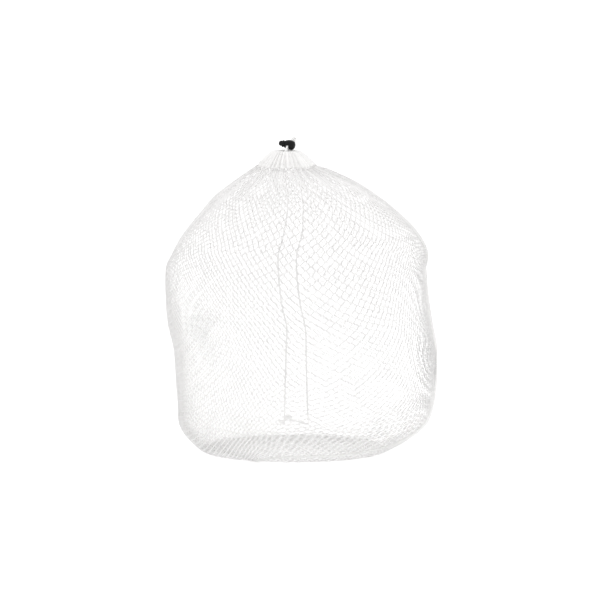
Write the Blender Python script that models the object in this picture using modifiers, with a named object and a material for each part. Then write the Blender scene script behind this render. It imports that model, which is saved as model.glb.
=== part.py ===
"""Mesh laundry bag: two net panels sewn together, a gathered drawcord casing at the mouth, a cord and a spring cord lock.

The bag stands on its flat bottom, filled out to its full shape. +X is to the right, -Y is the front, +Z is up.
All lengths are in metres.
"""

import math

import bmesh
import bpy
import numpy as np
from mathutils import Matrix, Vector

for old in list(bpy.data.objects):
    bpy.data.objects.remove(old, do_unlink=True)

# ---------------------------------------------------------------- dimensions
# Cross-sections of the filled bag: height, left side, right side, front depth, back depth (mm).
STATIONS_MM = (
    (0.0, -146.0, 125.0, 126.0, 128.0),
    (3.0, -151.5, 131.5, 133.0, 134.0),
    (8.0, -157.0, 141.0, 142.0, 142.0),
    (16.0, -165.0, 155.0, 152.0, 151.0),
    (28.0, -174.5, 171.0, 163.0, 161.0),
    (45.0, -181.0, 187.0, 173.0, 171.0),
    (70.0, -182.0, 195.0, 181.0, 180.0),
    (102.0, -184.0, 198.8, 186.0, 185.0),
    (146.0, -187.0, 199.8, 189.0, 189.0),
    (185.0, -194.0, 191.5, 190.0, 190.0),
    (220.0, -198.6, 187.0, 189.0, 189.5),
    (250.0, -199.8, 184.5, 186.0, 187.0),
    (268.0, -198.5, 183.0, 182.5, 183.5),
    (286.0, -190.5, 186.2, 177.0, 178.5),
    (302.0, -182.0, 182.5, 170.0, 172.0),
    (322.0, -168.5, 169.5, 158.0, 160.0),
    (345.0, -149.5, 147.5, 138.0, 141.0),
    (368.0, -130.5, 120.5, 115.0, 118.0),
    (390.0, -103.5, 86.0, 87.0, 90.0),
    (405.0, -83.0, 52.0, 62.0, 64.0),
    (418.0, -64.5, 18.5, 41.5, 41.5),
)
BOTTOM_CENTRE_MM = (-8.0, 0.0)
SECTION_EXPONENT = 2.12  # a little squarer than an ellipse

# Seams, on the flattened bag: angle about the axis (0 right, 90 front, 180 left) and height, or a point on the floor (x, y in mm).
RIGHT_CORNER = (12.0, 90.0)
LEFT_CORNER = (189.5, 62.0)
SEAM_TOP_ANGLES = (9.0, 190.0)
BACK_SEAM_SPACING = 0.09  # the back panel is eased along the bottom seam, towards its ends
BOTTOM_SEAM_WALL = ((13.2, 70.0), (18.0, 49.0), (28.0, 31.0), (42.0, 20.0), (62.0, 13.5), (88.0, 12.0), (106.0, 7.0))
BOTTOM_SEAM_FLOOR_MM = ((-84.0, -80.0), (-106.0, -41.0), (-131.0, -12.0))
BOTTOM_SEAM_WALL_LEFT = ((184.5, 9.0), (187.5, 30.0))

NET_THICKNESS = 0.0010
SEAM_HALF_WIDTH = 0.0024
SEAM_HALF_THICKNESS = 0.0012
SEAM_GAP = 0.0005
FLOOR_CLEAR = 0.0003
PANEL_COLUMNS = 22
PANEL_ROWS = 24

HEM_CENTRE = (-0.0232, 0.0)
HEM_PROFILE = (  # outer radius, height, from the throat's top over the outside to the throat's bottom
    (0.0072, 0.4398), (0.0110, 0.4409), (0.0170, 0.4409), (0.0215, 0.4394), (0.0262, 0.4352),
    (0.0318, 0.4295), (0.0366, 0.4240), (0.0396, 0.4196), (0.0388, 0.4184), (0.0072, 0.4184),
)
THROAT_RADIUS = 0.0058
HEM_SEGMENTS = 32
CASING_RING_RADIUS = 0.0140
CASING_RING_HEIGHT = 0.4290
CASING_BORE = 0.0024

CORD_RADIUS = 0.0014
STRAND_OFFSET = 0.00170  # half the distance between the two strands in the lock
BEND_RADIUS = 0.0058

LOCK_CENTRE = (-0.0168, -0.0005, 0.4490)
LOCK_YAW = 22.0  # the plunger points left and this much to the back
LOCK_TILT = 8.0  # and this much up
HOLE_RISE = 30.0  # the cord hole climbs this much towards the back
BALL_HALF_LENGTH = 0.0080
BALL_RADIUS = 0.0072
BALL_POWER = 2.6
MOUTH_AT = 0.0068
BORE_RADIUS = 0.0049
BORE_FLOOR = -0.0053  # 0.3 mm past the plunger's end at full press
POCKET_RADIUS = 0.0034
POCKET_FLOOR = -0.0067
PLUNGER_RADIUS = 0.0046
PLUNGER_END = -0.0020
PRESS_TRAVEL = 0.0030
SLOT_WIDTH = 0.0068
SLOT_LENGTH = 0.0064  # of the plunger's hole, which has its travel in it
BODY_SLOT_LENGTH = 0.0036
STRAND_AT = 0.0012  # the strands' place along the lock's axis
SLIDE_TRAVEL = 0.0050
SPRING_RADIUS = 0.0027
SPRING_WIRE = 0.00018
SPRING_TURNS = 3.0

MM = 0.001

# ---------------------------------------------------------------- collections and materials
parts = bpy.data.collections.new("mesh_laundry_bag")
cutters = bpy.data.collections.new("cutters")
bpy.context.scene.collection.children.link(parts)
bpy.context.scene.collection.children.link(cutters)


def material(name, colour, roughness, metallic=0.0):
    m = bpy.data.materials.new(name)
    m.use_nodes = True
    p = m.node_tree.nodes["Principled BSDF"]
    p.inputs["Base Color"].default_value = (*colour, 1.0)
    p.inputs["Roughness"].default_value = roughness
    p.inputs["Metallic"].default_value = metallic
    m.diffuse_color = (*colour, 1.0)
    return m


def new_object(name, mesh, mat, collection=parts):
    obj = bpy.data.objects.new(name, mesh)
    collection.objects.link(obj)
    if mat is not None:
        mesh.materials.append(mat)
    return obj


def cutter(obj):
    obj.hide_render = True
    obj.display_type = "WIRE"
    return obj


def smooth(obj, angle=35.0):
    obj.data.shade_smooth()
    obj.data.set_sharp_from_angle(angle=math.radians(angle))


# ---------------------------------------------------------------- the bag's surface
def monotone(x, y):
    """A smooth curve through the points that never overshoots between them."""
    x, y = np.asarray(x, float), np.asarray(y, float)
    h, d = np.diff(x), np.diff(y) / np.diff(x)
    m = np.zeros_like(y)
    m[0], m[-1] = d[0], d[-1]
    for i in range(1, len(x) - 1):
        if d[i - 1] * d[i] > 0:
            w1, w2 = 2 * h[i] + h[i - 1], h[i] + 2 * h[i - 1]
            m[i] = (w1 + w2) / (w1 / d[i - 1] + w2 / d[i])

    def at(v):
        v = np.clip(np.asarray(v, float), x[0], x[-1])
        i = np.clip(np.searchsorted(x, v, side="right") - 1, 0, len(h) - 1)
        t = (v - x[i]) / h[i]
        return (
            (2 * t**3 - 3 * t**2 + 1) * y[i]
            + (t**3 - 2 * t**2 + t) * h[i] * m[i]
            + (3 * t**2 - 2 * t**3) * y[i + 1]
            + (t**3 - t**2) * h[i] * m[i + 1]
        )

    return at


def make_surface():
    table = np.array(STATIONS_MM) * MM
    z, left, right, front, back = table.T
    half, centre = (right - left) / 2, (right + left) / 2
    deep, mid = (front + back) / 2, (back - front) / 2
    mean = (half + deep) / 2
    run = np.concatenate(([mean[0]], mean[0] + np.cumsum(np.hypot(np.diff(mean), np.diff(z)))))
    rho = run / run[-1]
    curves = {k: monotone(rho, v) for k, v in (("z", z), ("a", half), ("cx", centre), ("b", deep), ("cy", mid))}
    height = monotone(z, rho)
    return rho[0], run[-1], curves, height


RHO_FLOOR, RUN_LENGTH, CURVES, RHO_AT_HEIGHT = make_surface()


def surface(disk_x, disk_y):
    """A point of the flattened bag (a unit disk whose edge is the mouth, right at +x, front at +y) on the filled bag."""
    disk_x, disk_y = np.asarray(disk_x, float), np.asarray(disk_y, float)
    rho, angle = np.hypot(disk_x, disk_y), np.arctan2(disk_y, disk_x)
    held = np.maximum(rho, RHO_FLOOR)
    c, s = np.cos(angle), np.sin(angle)
    e = 2 / SECTION_EXPONENT
    px = CURVES["a"](held) * np.sign(c) * np.abs(c) ** e
    py = CURVES["b"](held) * np.sign(s) * np.abs(s) ** e
    x, y = CURVES["cx"](held) + px, CURVES["cy"](held) - py
    z = CURVES["z"](held)
    k = np.minimum(rho / RHO_FLOOR, 1.0)
    bx, by = BOTTOM_CENTRE_MM[0] * MM, BOTTOM_CENTRE_MM[1] * MM
    x, y = bx + (x - bx) * k, by + (y - by) * k
    return np.stack([x, y, z], axis=-1)


def outward(disk_x, disk_y):
    d = 1e-4
    p = surface(disk_x, disk_y)
    u = surface(disk_x + d, disk_y) - p
    v = surface(disk_x, disk_y + d) - p
    n = np.cross(u, v)
    n = n / np.maximum(np.linalg.norm(n, axis=-1, keepdims=True), 1e-12)
    return n


def on_wall(angle, height):
    rho = float(RHO_AT_HEIGHT(height * MM))
    return rho * math.cos(math.radians(angle)), rho * math.sin(math.radians(angle))


def on_floor(x, y):
    """The disk point that lies at x, y (mm) on the flat bottom."""
    bx, by = BOTTOM_CENTRE_MM
    angle = math.atan2(-(y - by), x - bx)
    for _ in range(30):
        edge = surface(RHO_FLOOR * math.cos(angle), RHO_FLOOR * math.sin(angle)) / MM
        turn = math.atan2(-(y - by), x - bx) - math.atan2(-(edge[1] - by), edge[0] - bx)
        angle += turn
    edge = surface(RHO_FLOOR * math.cos(angle), RHO_FLOOR * math.sin(angle)) / MM
    k = math.hypot(x - bx, y - by) / math.hypot(edge[0] - bx, edge[1] - by)
    return k * RHO_FLOOR * math.cos(angle), k * RHO_FLOOR * math.sin(angle)


def through(points, samples):
    """A Catmull-Rom curve through the points, resampled evenly by length, or at the given distances from its ends."""
    p = np.array(points, float)
    ext = np.vstack([2 * p[0] - p[1], p, 2 * p[-1] - p[-2]])
    fine = []
    for i in range(len(p) - 1):
        a, b, c, d = ext[i : i + 4]
        ta, tb = 0.0, math.sqrt(np.linalg.norm(b - a))
        tc = tb + math.sqrt(np.linalg.norm(c - b))
        td = tc + math.sqrt(np.linalg.norm(d - c))
        for t in np.linspace(tb, tc, 60, endpoint=False):
            ab = (tb - t) / (tb - ta) * a + (t - ta) / (tb - ta) * b
            bc = (tc - t) / (tc - tb) * b + (t - tb) / (tc - tb) * c
            cd = (td - t) / (td - tc) * c + (t - tc) / (td - tc) * d
            abc = (tc - t) / (tc - ta) * ab + (t - ta) / (tc - ta) * bc
            bcd = (td - t) / (td - tb) * bc + (t - tb) / (td - tb) * cd
            fine.append((tc - t) / (tc - tb) * abc + (t - tb) / (tc - tb) * bcd)
    fine.append(p[-1])
    fine = np.array(fine)
    run = np.concatenate(([0.0], np.cumsum(np.linalg.norm(np.diff(fine, axis=0), axis=1))))
    if isinstance(samples, int):
        want = np.linspace(0, run[-1], samples)
    else:
        want = np.array([d if d >= 0 else run[-1] + d for d in samples])
    return np.stack([np.interp(want, run, fine[:, k]) for k in range(fine.shape[1])], axis=-1)


def bottom_seam_disk(samples):
    """The bottom seam from the right corner to the left one, in disk coordinates, evenly spaced on the bag."""
    points = [on_wall(*RIGHT_CORNER)]
    points += [on_wall(*p) for p in BOTTOM_SEAM_WALL]
    points += [on_floor(*p) for p in BOTTOM_SEAM_FLOOR_MM]
    points += [on_wall(*p) for p in BOTTOM_SEAM_WALL_LEFT]
    points.append(on_wall(*LEFT_CORNER))
    fine = through(points, 800)
    space = surface(fine[:, 0], fine[:, 1])
    run = np.concatenate(([0.0], np.cumsum(np.linalg.norm(np.diff(space, axis=0), axis=1))))
    want = np.linspace(0, run[-1], samples)
    return np.stack([np.interp(want, run, fine[:, k]) for k in range(2)], axis=-1), run[-1]


SEAM_TABLE, BOTTOM_SEAM_LENGTH = bottom_seam_disk(400)


def panel_disk(side, s, t):
    """The disk point of a panel: s from the right seam to the left one, t from the bottom seam to the mouth, even by length."""
    s, t = np.broadcast_arrays(np.asarray(s, float), np.asarray(t, float))
    flat_s = s.ravel()
    k = np.linspace(0, 1, len(SEAM_TABLE))
    place = flat_s if side == "front" else flat_s - BACK_SEAM_SPACING * np.sin(2 * np.pi * flat_s)
    start = np.stack([np.interp(place, k, SEAM_TABLE[:, i]) for i in range(2)], axis=-1)
    first, last = SEAM_TOP_ANGLES
    if side == "front":
        angle = np.radians(first + (last - first) * flat_s)
    else:
        angle = np.radians(first - (360 - last + first) * flat_s)
    end = np.stack([np.cos(angle), np.sin(angle)], axis=-1)
    steps = np.linspace(0, 1, 200)
    lines = start[:, None, :] + (end - start)[:, None, :] * steps[None, :, None]
    space = surface(lines[..., 0], lines[..., 1])
    run = np.concatenate(
        [np.zeros((len(flat_s), 1)), np.cumsum(np.linalg.norm(np.diff(space, axis=1), axis=2), axis=1)], axis=1
    )
    out = np.empty((len(flat_s), 2))
    for i, want in enumerate(t.ravel()):
        q = np.interp(want * run[i, -1], run[i], steps)
        out[i] = start[i] + (end[i] - start[i]) * q
    return out.reshape(*s.shape, 2)


def column_length(side, s):
    d = panel_disk(side, np.full(160, s), np.linspace(0, 1, 160))
    p = surface(d[:, 0], d[:, 1])
    return float(np.linalg.norm(np.diff(p, axis=0), axis=1).sum())


def row_length(side, t):
    d = panel_disk(side, np.linspace(0, 1, 120), np.full(120, t))
    p = surface(d[:, 0], d[:, 1])
    return float(np.linalg.norm(np.diff(p, axis=0), axis=1).sum())


EDGE = SEAM_HALF_WIDTH + SEAM_GAP


def net_panel(name, side, mat, clear_of):
    """Half of the net as a thin shell, cut back from its seams."""
    s, t = np.meshgrid(np.linspace(0, 1, PANEL_COLUMNS + 1), np.linspace(0, 1, PANEL_ROWS + 1))
    disk = panel_disk(side, s, t)
    points = surface(disk[..., 0], disk[..., 1])
    bm = bmesh.new()
    grid = [[bm.verts.new(points[j, i]) for i in range(PANEL_COLUMNS + 1)] for j in range(PANEL_ROWS + 1)]
    for j in range(PANEL_ROWS):
        for i in range(PANEL_COLUMNS):
            quad = [grid[j][i], grid[j + 1][i], grid[j + 1][i + 1], grid[j][i + 1]]
            bm.faces.new(quad if side == "front" else quad[::-1])
    mesh = bpy.data.meshes.new(name)
    bm.to_mesh(mesh)
    bm.free()
    obj = new_object(name, mesh, mat)
    shell = obj.modifiers.new("thickness", "SOLIDIFY")
    shell.thickness = NET_THICKNESS
    shell.offset = -1.0
    shell.use_even_offset = True
    obj.data.shade_smooth()
    for tool in clear_of:
        cut(obj, tool)
    return obj


def seam_strip(name, disk, half_width, half_thickness):
    """The space a seam takes out of the net: a strip along the seam's line, through the cloth."""
    p = surface(disk[:, 0], disk[:, 1])
    n = outward(disk[:, 0], disk[:, 1])
    along = np.gradient(p, axis=0)
    along /= np.linalg.norm(along, axis=1, keepdims=True)
    p = np.vstack([p[:1] - along[:1] * 0.004, p, p[-1:] + along[-1:] * 0.004])
    n = np.vstack([n[:1], n, n[-1:]])
    along = np.vstack([along[:1], along, along[-1:]])
    across = np.cross(along, n)
    across /= np.linalg.norm(across, axis=1, keepdims=True)
    n = np.cross(across, along)
    bm = bmesh.new()
    rings = [
        [bm.verts.new(p[i] + across[i] * half_width * a + n[i] * half_thickness * b) for a, b in ((1, 1), (-1, 1), (-1, -1), (1, -1))]
        for i in range(len(p))
    ]
    for a, b in zip(rings, rings[1:]):
        for k in range(4):
            bm.faces.new((a[k], a[(k + 1) % 4], b[(k + 1) % 4], b[k]))
    bm.faces.new(rings[0][::-1])
    bm.faces.new(rings[-1])
    bmesh.ops.recalc_face_normals(bm, faces=bm.faces)
    mesh = bpy.data.meshes.new(name)
    bm.to_mesh(mesh)
    bm.free()
    return cutter(new_object(name, mesh, None, cutters))


def seam_band(name, disk, mat, sides=8):
    """A flattened roll of overlocked cloth along a line of the bag's surface."""
    p = surface(disk[:, 0], disk[:, 1])
    n = outward(disk[:, 0], disk[:, 1])
    for k in range(3):
        n[1:-1, k] = (n[:-2, k] + n[1:-1, k] * 2 + n[2:, k]) / 4
    n /= np.linalg.norm(n, axis=1, keepdims=True)
    lowest = SEAM_HALF_THICKNESS + FLOOR_CLEAR
    p[:, 2] = np.where(p[:, 2] < lowest + 0.004, lowest + 0.5 * (p[:, 2] - lowest + np.sqrt((p[:, 2] - lowest) ** 2 + 0.001**2)), p[:, 2])
    along = np.gradient(p, axis=0)
    along /= np.linalg.norm(along, axis=1, keepdims=True)
    across = np.cross(along, n)
    across /= np.linalg.norm(across, axis=1, keepdims=True)
    n = np.cross(across, along)
    bm = bmesh.new()
    rings = []
    for i in range(len(p)):
        ring = []
        for k in range(sides):
            a = 2 * math.pi * k / sides
            c, q = math.cos(a), math.sin(a)
            w = SEAM_HALF_WIDTH * math.copysign(abs(c) ** 0.6, c)
            h = SEAM_HALF_THICKNESS * math.copysign(abs(q) ** 0.8, q)
            ring.append(bm.verts.new(p[i] + across[i] * w + n[i] * h))
        rings.append(ring)
    for a, b in zip(rings, rings[1:]):
        for k in range(sides):
            bm.faces.new((a[k], a[(k + 1) % sides], b[(k + 1) % sides], b[k]))
    bm.faces.new(rings[0][::-1])
    bm.faces.new(rings[-1])
    bmesh.ops.recalc_face_normals(bm, faces=bm.faces)
    mesh = bpy.data.meshes.new(name)
    bm.to_mesh(mesh)
    bm.free()
    obj = new_object(name, mesh, mat)
    smooth(obj, 50)
    return obj


# ---------------------------------------------------------------- turned shapes, tubes and cuts
def turned(name, profile, mat, segments, collection=parts):
    """A profile of (radius, height) turned about Z; it runs down the outer side, top to bottom, and closes on the axis or on itself."""
    bm = bmesh.new()
    verts = [bm.verts.new((r, 0.0, z)) for r, z in profile]
    for a, b in zip(verts, verts[1:]):
        bm.edges.new((a, b))
    if profile[0][0] > 1e-6:
        bm.edges.new((verts[-1], verts[0]))
    mesh = bpy.data.meshes.new(name)
    bm.to_mesh(mesh)
    bm.free()
    obj = new_object(name, mesh, mat, collection)
    screw = obj.modifiers.new("turn", "SCREW")
    screw.axis = "Z"
    screw.angle = 2 * math.pi
    screw.steps = segments
    screw.render_steps = segments
    screw.use_merge_vertices = True
    screw.merge_threshold = 0.00002
    return obj


def curve_points(name, points, radius, mat, resolution=2, collection=parts):
    data = bpy.data.curves.new(name, "CURVE")
    data.dimensions = "3D"
    data.bevel_depth = radius
    data.bevel_resolution = resolution
    data.use_fill_caps = True
    data.twist_mode = "MINIMUM"
    spline = data.splines.new("POLY")
    spline.points.add(len(points) - 1)
    for q, p in zip(spline.points, points):
        q.co = (*p, 1.0)
    obj = bpy.data.objects.new(name, data)
    collection.objects.link(obj)
    if mat is not None:
        data.materials.append(mat)
    return obj


def cut(obj, tool):
    b = obj.modifiers.new("cut_" + tool.name, "BOOLEAN")
    b.operation = "DIFFERENCE"
    b.solver = "EXACT"
    b.object = tool


def box(name, size, matrix, collection=cutters):
    bm = bmesh.new()
    bmesh.ops.create_cube(bm, size=1.0)
    bmesh.ops.scale(bm, vec=size, verts=bm.verts)
    mesh = bpy.data.meshes.new(name)
    bm.to_mesh(mesh)
    bm.free()
    obj = new_object(name, mesh, None, collection)
    obj.matrix_world = matrix
    return cutter(obj)


# ---------------------------------------------------------------- materials
net_mat = material("net", (0.93, 0.93, 0.91), 0.75)
seam_mat = material("seam_binding", (0.90, 0.90, 0.88), 0.80)
hem_mat = material("hem_cloth", (0.92, 0.92, 0.90), 0.80)
cord_mat = material("cord", (0.92, 0.92, 0.91), 0.70)
lock_mat = material("lock_plastic", (0.012, 0.012, 0.013), 0.42)
spring_mat = material("spring_steel", (0.62, 0.62, 0.64), 0.30, 1.0)

# ---------------------------------------------------------------- panels and seams
JOIN = 0.0030  # the side seams start this far above the corners, where the bottom seam ends


def side_seam_disk(s, samples, start=JOIN, finish=0.0006):
    length = column_length("front", s)
    t = np.linspace(start / length, 1 - finish / length, samples)
    return panel_disk("front", np.full(len(t), s), t)


strips = [
    seam_strip("strip_right", side_seam_disk(0.0, 26, 0.0, -0.004), EDGE, 0.0040),
    seam_strip("strip_left", side_seam_disk(1.0, 26, 0.0, -0.004), EDGE, 0.0040),
    seam_strip("strip_bottom", bottom_seam_disk(46)[0], EDGE, 0.0040),
]
net_panel("net_front_panel", "front", net_mat, strips)
net_panel("net_back_panel", "back", net_mat, strips)
seam_band("side_seam_right", side_seam_disk(0.0, 26), seam_mat)
seam_band("side_seam_left", side_seam_disk(1.0, 26), seam_mat)
seam_band("bottom_seam", bottom_seam_disk(46)[0], seam_mat)

# ---------------------------------------------------------------- mouth hem with its cord casing
hem = turned(
    "mouth_hem",
    tuple(HEM_PROFILE[1:-1]) + ((THROAT_RADIUS, HEM_PROFILE[-1][1]), (THROAT_RADIUS, HEM_PROFILE[0][1])),
    hem_mat,
    HEM_SEGMENTS,
)
hem.location = (*HEM_CENTRE, 0.0)
channel_profile = [
    (
        CASING_RING_RADIUS + CASING_BORE * math.sin(2 * math.pi * k / 10),
        CASING_RING_HEIGHT + CASING_BORE * math.cos(2 * math.pi * k / 10),
    )
    for k in range(10)
]
channel = cutter(turned("casing_channel", channel_profile, None, 28, cutters))
channel.location = hem.location
cut(hem, channel)

# ---------------------------------------------------------------- the lock's own axes
yaw, tilt, rise = (math.radians(a) for a in (LOCK_YAW, LOCK_TILT, HOLE_RISE))
U = Vector((-math.cos(yaw) * math.cos(tilt), math.sin(yaw) * math.cos(tilt), math.sin(tilt)))
FLAT = Vector((math.sin(yaw), math.cos(yaw), 0.0))  # level, across the lock's axis, to the back
UPRIGHT = FLAT.cross(U)
if UPRIGHT.z < 0:
    UPRIGHT = -UPRIGHT
H = FLAT * math.cos(rise) + UPRIGHT * math.sin(rise)  # along the cord hole, the way the tails leave
W = UPRIGHT * math.cos(rise) - FLAT * math.sin(rise)  # across both: from one strand to the other
C = Vector(LOCK_CENTRE)
# local +Z is the lock's axis towards the plunger, local +X the cord hole
third = U.cross(H)
LOCK_FRAME = Matrix.Translation(C) @ Matrix((H, third, U)).transposed().to_4x4()


def at(u, h, w):
    return C + U * u + H * h + W * w


# ---------------------------------------------------------------- cord
def arc(centre, start, plane_a, plane_b, radius, a0, a1, n):
    return [centre + plane_a * (radius * math.cos(a)) + plane_b * (radius * math.sin(a)) for a in np.linspace(a0, a1, n)]


DOWN = Vector((0, 0, -1))


def strand_into_lock(offset, ring_turn):
    """From the casing ring, out of the slit and up, round into the lock's hole, and straight on to the end of the slide."""
    radius = BEND_RADIUS + (offset + STRAND_OFFSET)
    entry = at(STRAND_AT, -BALL_RADIUS * 0.98, offset)
    pivot = entry - W * radius
    sweep = math.radians(90 - HOLE_RISE)
    rising = []
    for a in np.linspace(-sweep, 0, 7):
        # angle 0 is at the entry; before it the strand stands upright in front of the lock
        rising.append(pivot + W * (radius * math.cos(a)) + H * (radius * math.sin(a)))
    foot = rising[0]
    heading = (rising[1] - rising[0]).normalized()
    hx, hy = HEM_CENTRE
    ring = []
    for k in range(ring_turn[2]):
        f = math.radians(ring_turn[0] + (ring_turn[1] - ring_turn[0]) * k / (ring_turn[2] - 1))
        ring.append(Vector((hx + CASING_RING_RADIUS * math.sin(f), hy - CASING_RING_RADIUS * math.cos(f), CASING_RING_HEIGHT)))
    return ring, foot, heading, rising


# the strand on the lower, inner side of the bend comes from the right of the ring, the other from the left
ring_a, foot_a, head_a, rise_a = strand_into_lock(-STRAND_OFFSET, (180.0, 62.0, 10))
ring_b, foot_b, head_b, rise_b = strand_into_lock(STRAND_OFFSET, (180.0, 318.0, 10))
STRAIGHT_END = BALL_RADIUS + SLIDE_TRAVEL + 0.0008


def joined(ring, foot, heading, rising, offset):
    pts = list(ring)
    a, d0 = ring[-1], (ring[-1] - ring[-2]).normalized()
    gap = (foot - a).length
    for k in range(1, 7):
        t = k / 7
        p1, p2 = a + d0 * gap * 0.42, foot - heading * gap * 0.42
        pts.append(a * (1 - t) ** 3 + p1 * 3 * t * (1 - t) ** 2 + p2 * 3 * t * t * (1 - t) + foot * t**3)
    pts += rising
    for h in np.linspace(-BALL_RADIUS * 0.98, STRAIGHT_END, 6)[1:]:
        pts.append(at(STRAND_AT, float(h), offset))
    return pts


path_a = joined(ring_a, foot_a, head_a, rise_a, -STRAND_OFFSET)
path_b = joined(ring_b, foot_b, head_b, rise_b, STRAND_OFFSET)
whole = [tuple(p) for p in reversed(path_a)] + [tuple(p) for p in path_b[1:]]
HELD_CORD = np.array(whole)
held_run = float(np.linalg.norm(np.diff(HELD_CORD, axis=0), axis=1).sum())
held_points = []
run = np.concatenate(([0.0], np.cumsum(np.linalg.norm(np.diff(HELD_CORD, axis=0), axis=1))))
for want in np.linspace(0, run[-1], 72):
    held_points.append([float(np.interp(want, run, HELD_CORD[:, k])) for k in range(3)])
curve_points("drawcord", held_points, CORD_RADIUS, cord_mat)

# the slit where the strands leave the casing: a slanted window through the top of the hem
slit_mid = (foot_a + foot_b) / 2
slit = box(
    "cord_slit",
    (0.0210, 0.0095, 0.0200),
    Matrix.Translation(((slit_mid.x + HEM_CENTRE[0]) / 2 + 0.0006, slit_mid.y - 0.0006, CASING_RING_HEIGHT - 0.0018 + 0.0100)),
)
cut(hem, slit)
smooth(hem, 40)


# ---------------------------------------------------------------- cord lock
ball_profile = []
for k in range(0, 19):
    a = math.radians(180 * k / 18)
    z = BALL_HALF_LENGTH * math.cos(a)
    if z > MOUTH_AT:
        continue
    r = BALL_RADIUS * (1 - abs(z / BALL_HALF_LENGTH) ** BALL_POWER) ** (1 / BALL_POWER)
    ball_profile.append((max(r, 0.0), z))
lip = 0.0058
outer = [(BORE_RADIUS + 0.0006, MOUTH_AT + 0.0002), (lip, MOUTH_AT)] + [p for p in ball_profile if p[1] < MOUTH_AT - 0.0006]
outer[-1] = (0.0, -BALL_HALF_LENGTH)
inner = [
    (0.0, POCKET_FLOOR),
    (POCKET_RADIUS, POCKET_FLOOR),
    (POCKET_RADIUS, BORE_FLOOR),
    (BORE_RADIUS, BORE_FLOOR),
    (BORE_RADIUS, MOUTH_AT - 0.0004),
]


def open_turned(name, profile, mat, segments):
    """As turned, for a profile whose two ends lie on the axis."""
    bm = bmesh.new()
    verts = [bm.verts.new((r, 0.0, z)) for r, z in profile]
    for a, b in zip(verts, verts[1:]):
        bm.edges.new((a, b))
    mesh = bpy.data.meshes.new(name)
    bm.to_mesh(mesh)
    bm.free()
    obj = new_object(name, mesh, mat)
    screw = obj.modifiers.new("turn", "SCREW")
    screw.axis = "Z"
    screw.angle = 2 * math.pi
    screw.steps = segments
    screw.render_steps = segments
    screw.use_merge_vertices = True
    screw.merge_threshold = 0.00002
    return obj


# from the pocket's floor up the bore, over the lip and down the outside
lock_body = open_turned("cord_lock_body", inner + outer, lock_mat, 28)
lock_body.matrix_world = LOCK_FRAME
SLOT_OUT = STRAND_AT + CORD_RADIUS + 0.0003  # the body hole's end nearest the plunger's button
body_hole = box(
    "body_cord_hole",
    (0.0300, SLOT_WIDTH, BODY_SLOT_LENGTH),
    LOCK_FRAME @ Matrix.Translation((0, 0, SLOT_OUT - BODY_SLOT_LENGTH / 2)),
)
round_hole = body_hole.modifiers.new("round", "BEVEL")
round_hole.width = 0.0012
round_hole.segments = 3
round_hole.affect = "EDGES"
cut(lock_body, body_hole)
smooth(lock_body, 40)

plunger_profile = [
    (0.0, 0.0172),
    (0.0016, 0.0170),
    (0.0028, 0.0163),
    (0.0036, 0.0151),
    (0.0039, 0.0136),
    (0.0040, 0.0122),
    (0.0046, 0.0116),
    (0.0052, 0.0112),
    (0.0052, 0.0103),
    (PLUNGER_RADIUS, 0.0101),
    (PLUNGER_RADIUS, PLUNGER_END + 0.0004),
    (PLUNGER_RADIUS - 0.0004, PLUNGER_END),
    (0.0, PLUNGER_END),
]
plunger = open_turned("cord_lock_plunger", plunger_profile, lock_mat, 28)
plunger.matrix_world = LOCK_FRAME
slot_in = STRAND_AT - CORD_RADIUS - 0.0003  # the plunger hole's inner end, which presses on the cord
plunger_hole = box(
    "plunger_cord_hole",
    (0.0300, SLOT_WIDTH, SLOT_LENGTH),
    LOCK_FRAME @ Matrix.Translation((0, 0, slot_in + SLOT_LENGTH / 2)),
)
round_hole = plunger_hole.modifiers.new("round", "BEVEL")
round_hole.width = 0.0018
round_hole.segments = 3
cut(plunger, plunger_hole)
smooth(plunger, 40)

spring_points = []
spring_low, spring_high = POCKET_FLOOR + SPRING_WIRE + 0.0002, PLUNGER_END - SPRING_WIRE - 0.0002
turns = int(SPRING_TURNS * 12)
for k in range(turns + 1):
    a = 2 * math.pi * k / 12
    p = LOCK_FRAME @ Vector((SPRING_RADIUS * math.cos(a), SPRING_RADIUS * math.sin(a), spring_low + (spring_high - spring_low) * k / turns))
    spring_points.append(tuple(p))
curve_points("cord_lock_spring", spring_points, SPRING_WIRE, spring_mat, resolution=1)

# ---------------------------------------------------------------- free tails
SURFACE_CLEAR = 0.0016


def tail_path(offset, way):
    """Out of the lock, down over the hem, along the bag's back, down to the floor and out behind it."""
    radius = BEND_RADIUS + (offset + STRAND_OFFSET)
    start_h = STRAIGHT_END + 0.0003
    start = at(STRAND_AT, start_h, offset)
    pivot = start - W * radius
    pts = []
    for a in np.linspace(0, math.radians(72), 6):
        pts.append(pivot + W * (radius * math.cos(a)) + H * (radius * math.sin(a)))
    # down the back of the bag, along its surface; near the mouth the cord bridges the gathers
    for height in (409, 398, 384, 365, 342, 318, 292, 262, 235, 208, 182, 152):
        angle = float(np.interp(height, way[0], way[1]))
        d = on_wall(-angle, height)
        p = surface(*d)
        n = outward(np.float64(d[0]), np.float64(d[1]))
        lift = CORD_RADIUS + SURFACE_CLEAR + float(np.interp(height, (320, 345, 384, 409), (0.0, 0.0022, 0.0026, 0.0052)))
        pts.append(Vector(p + n * lift))
    return pts


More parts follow.
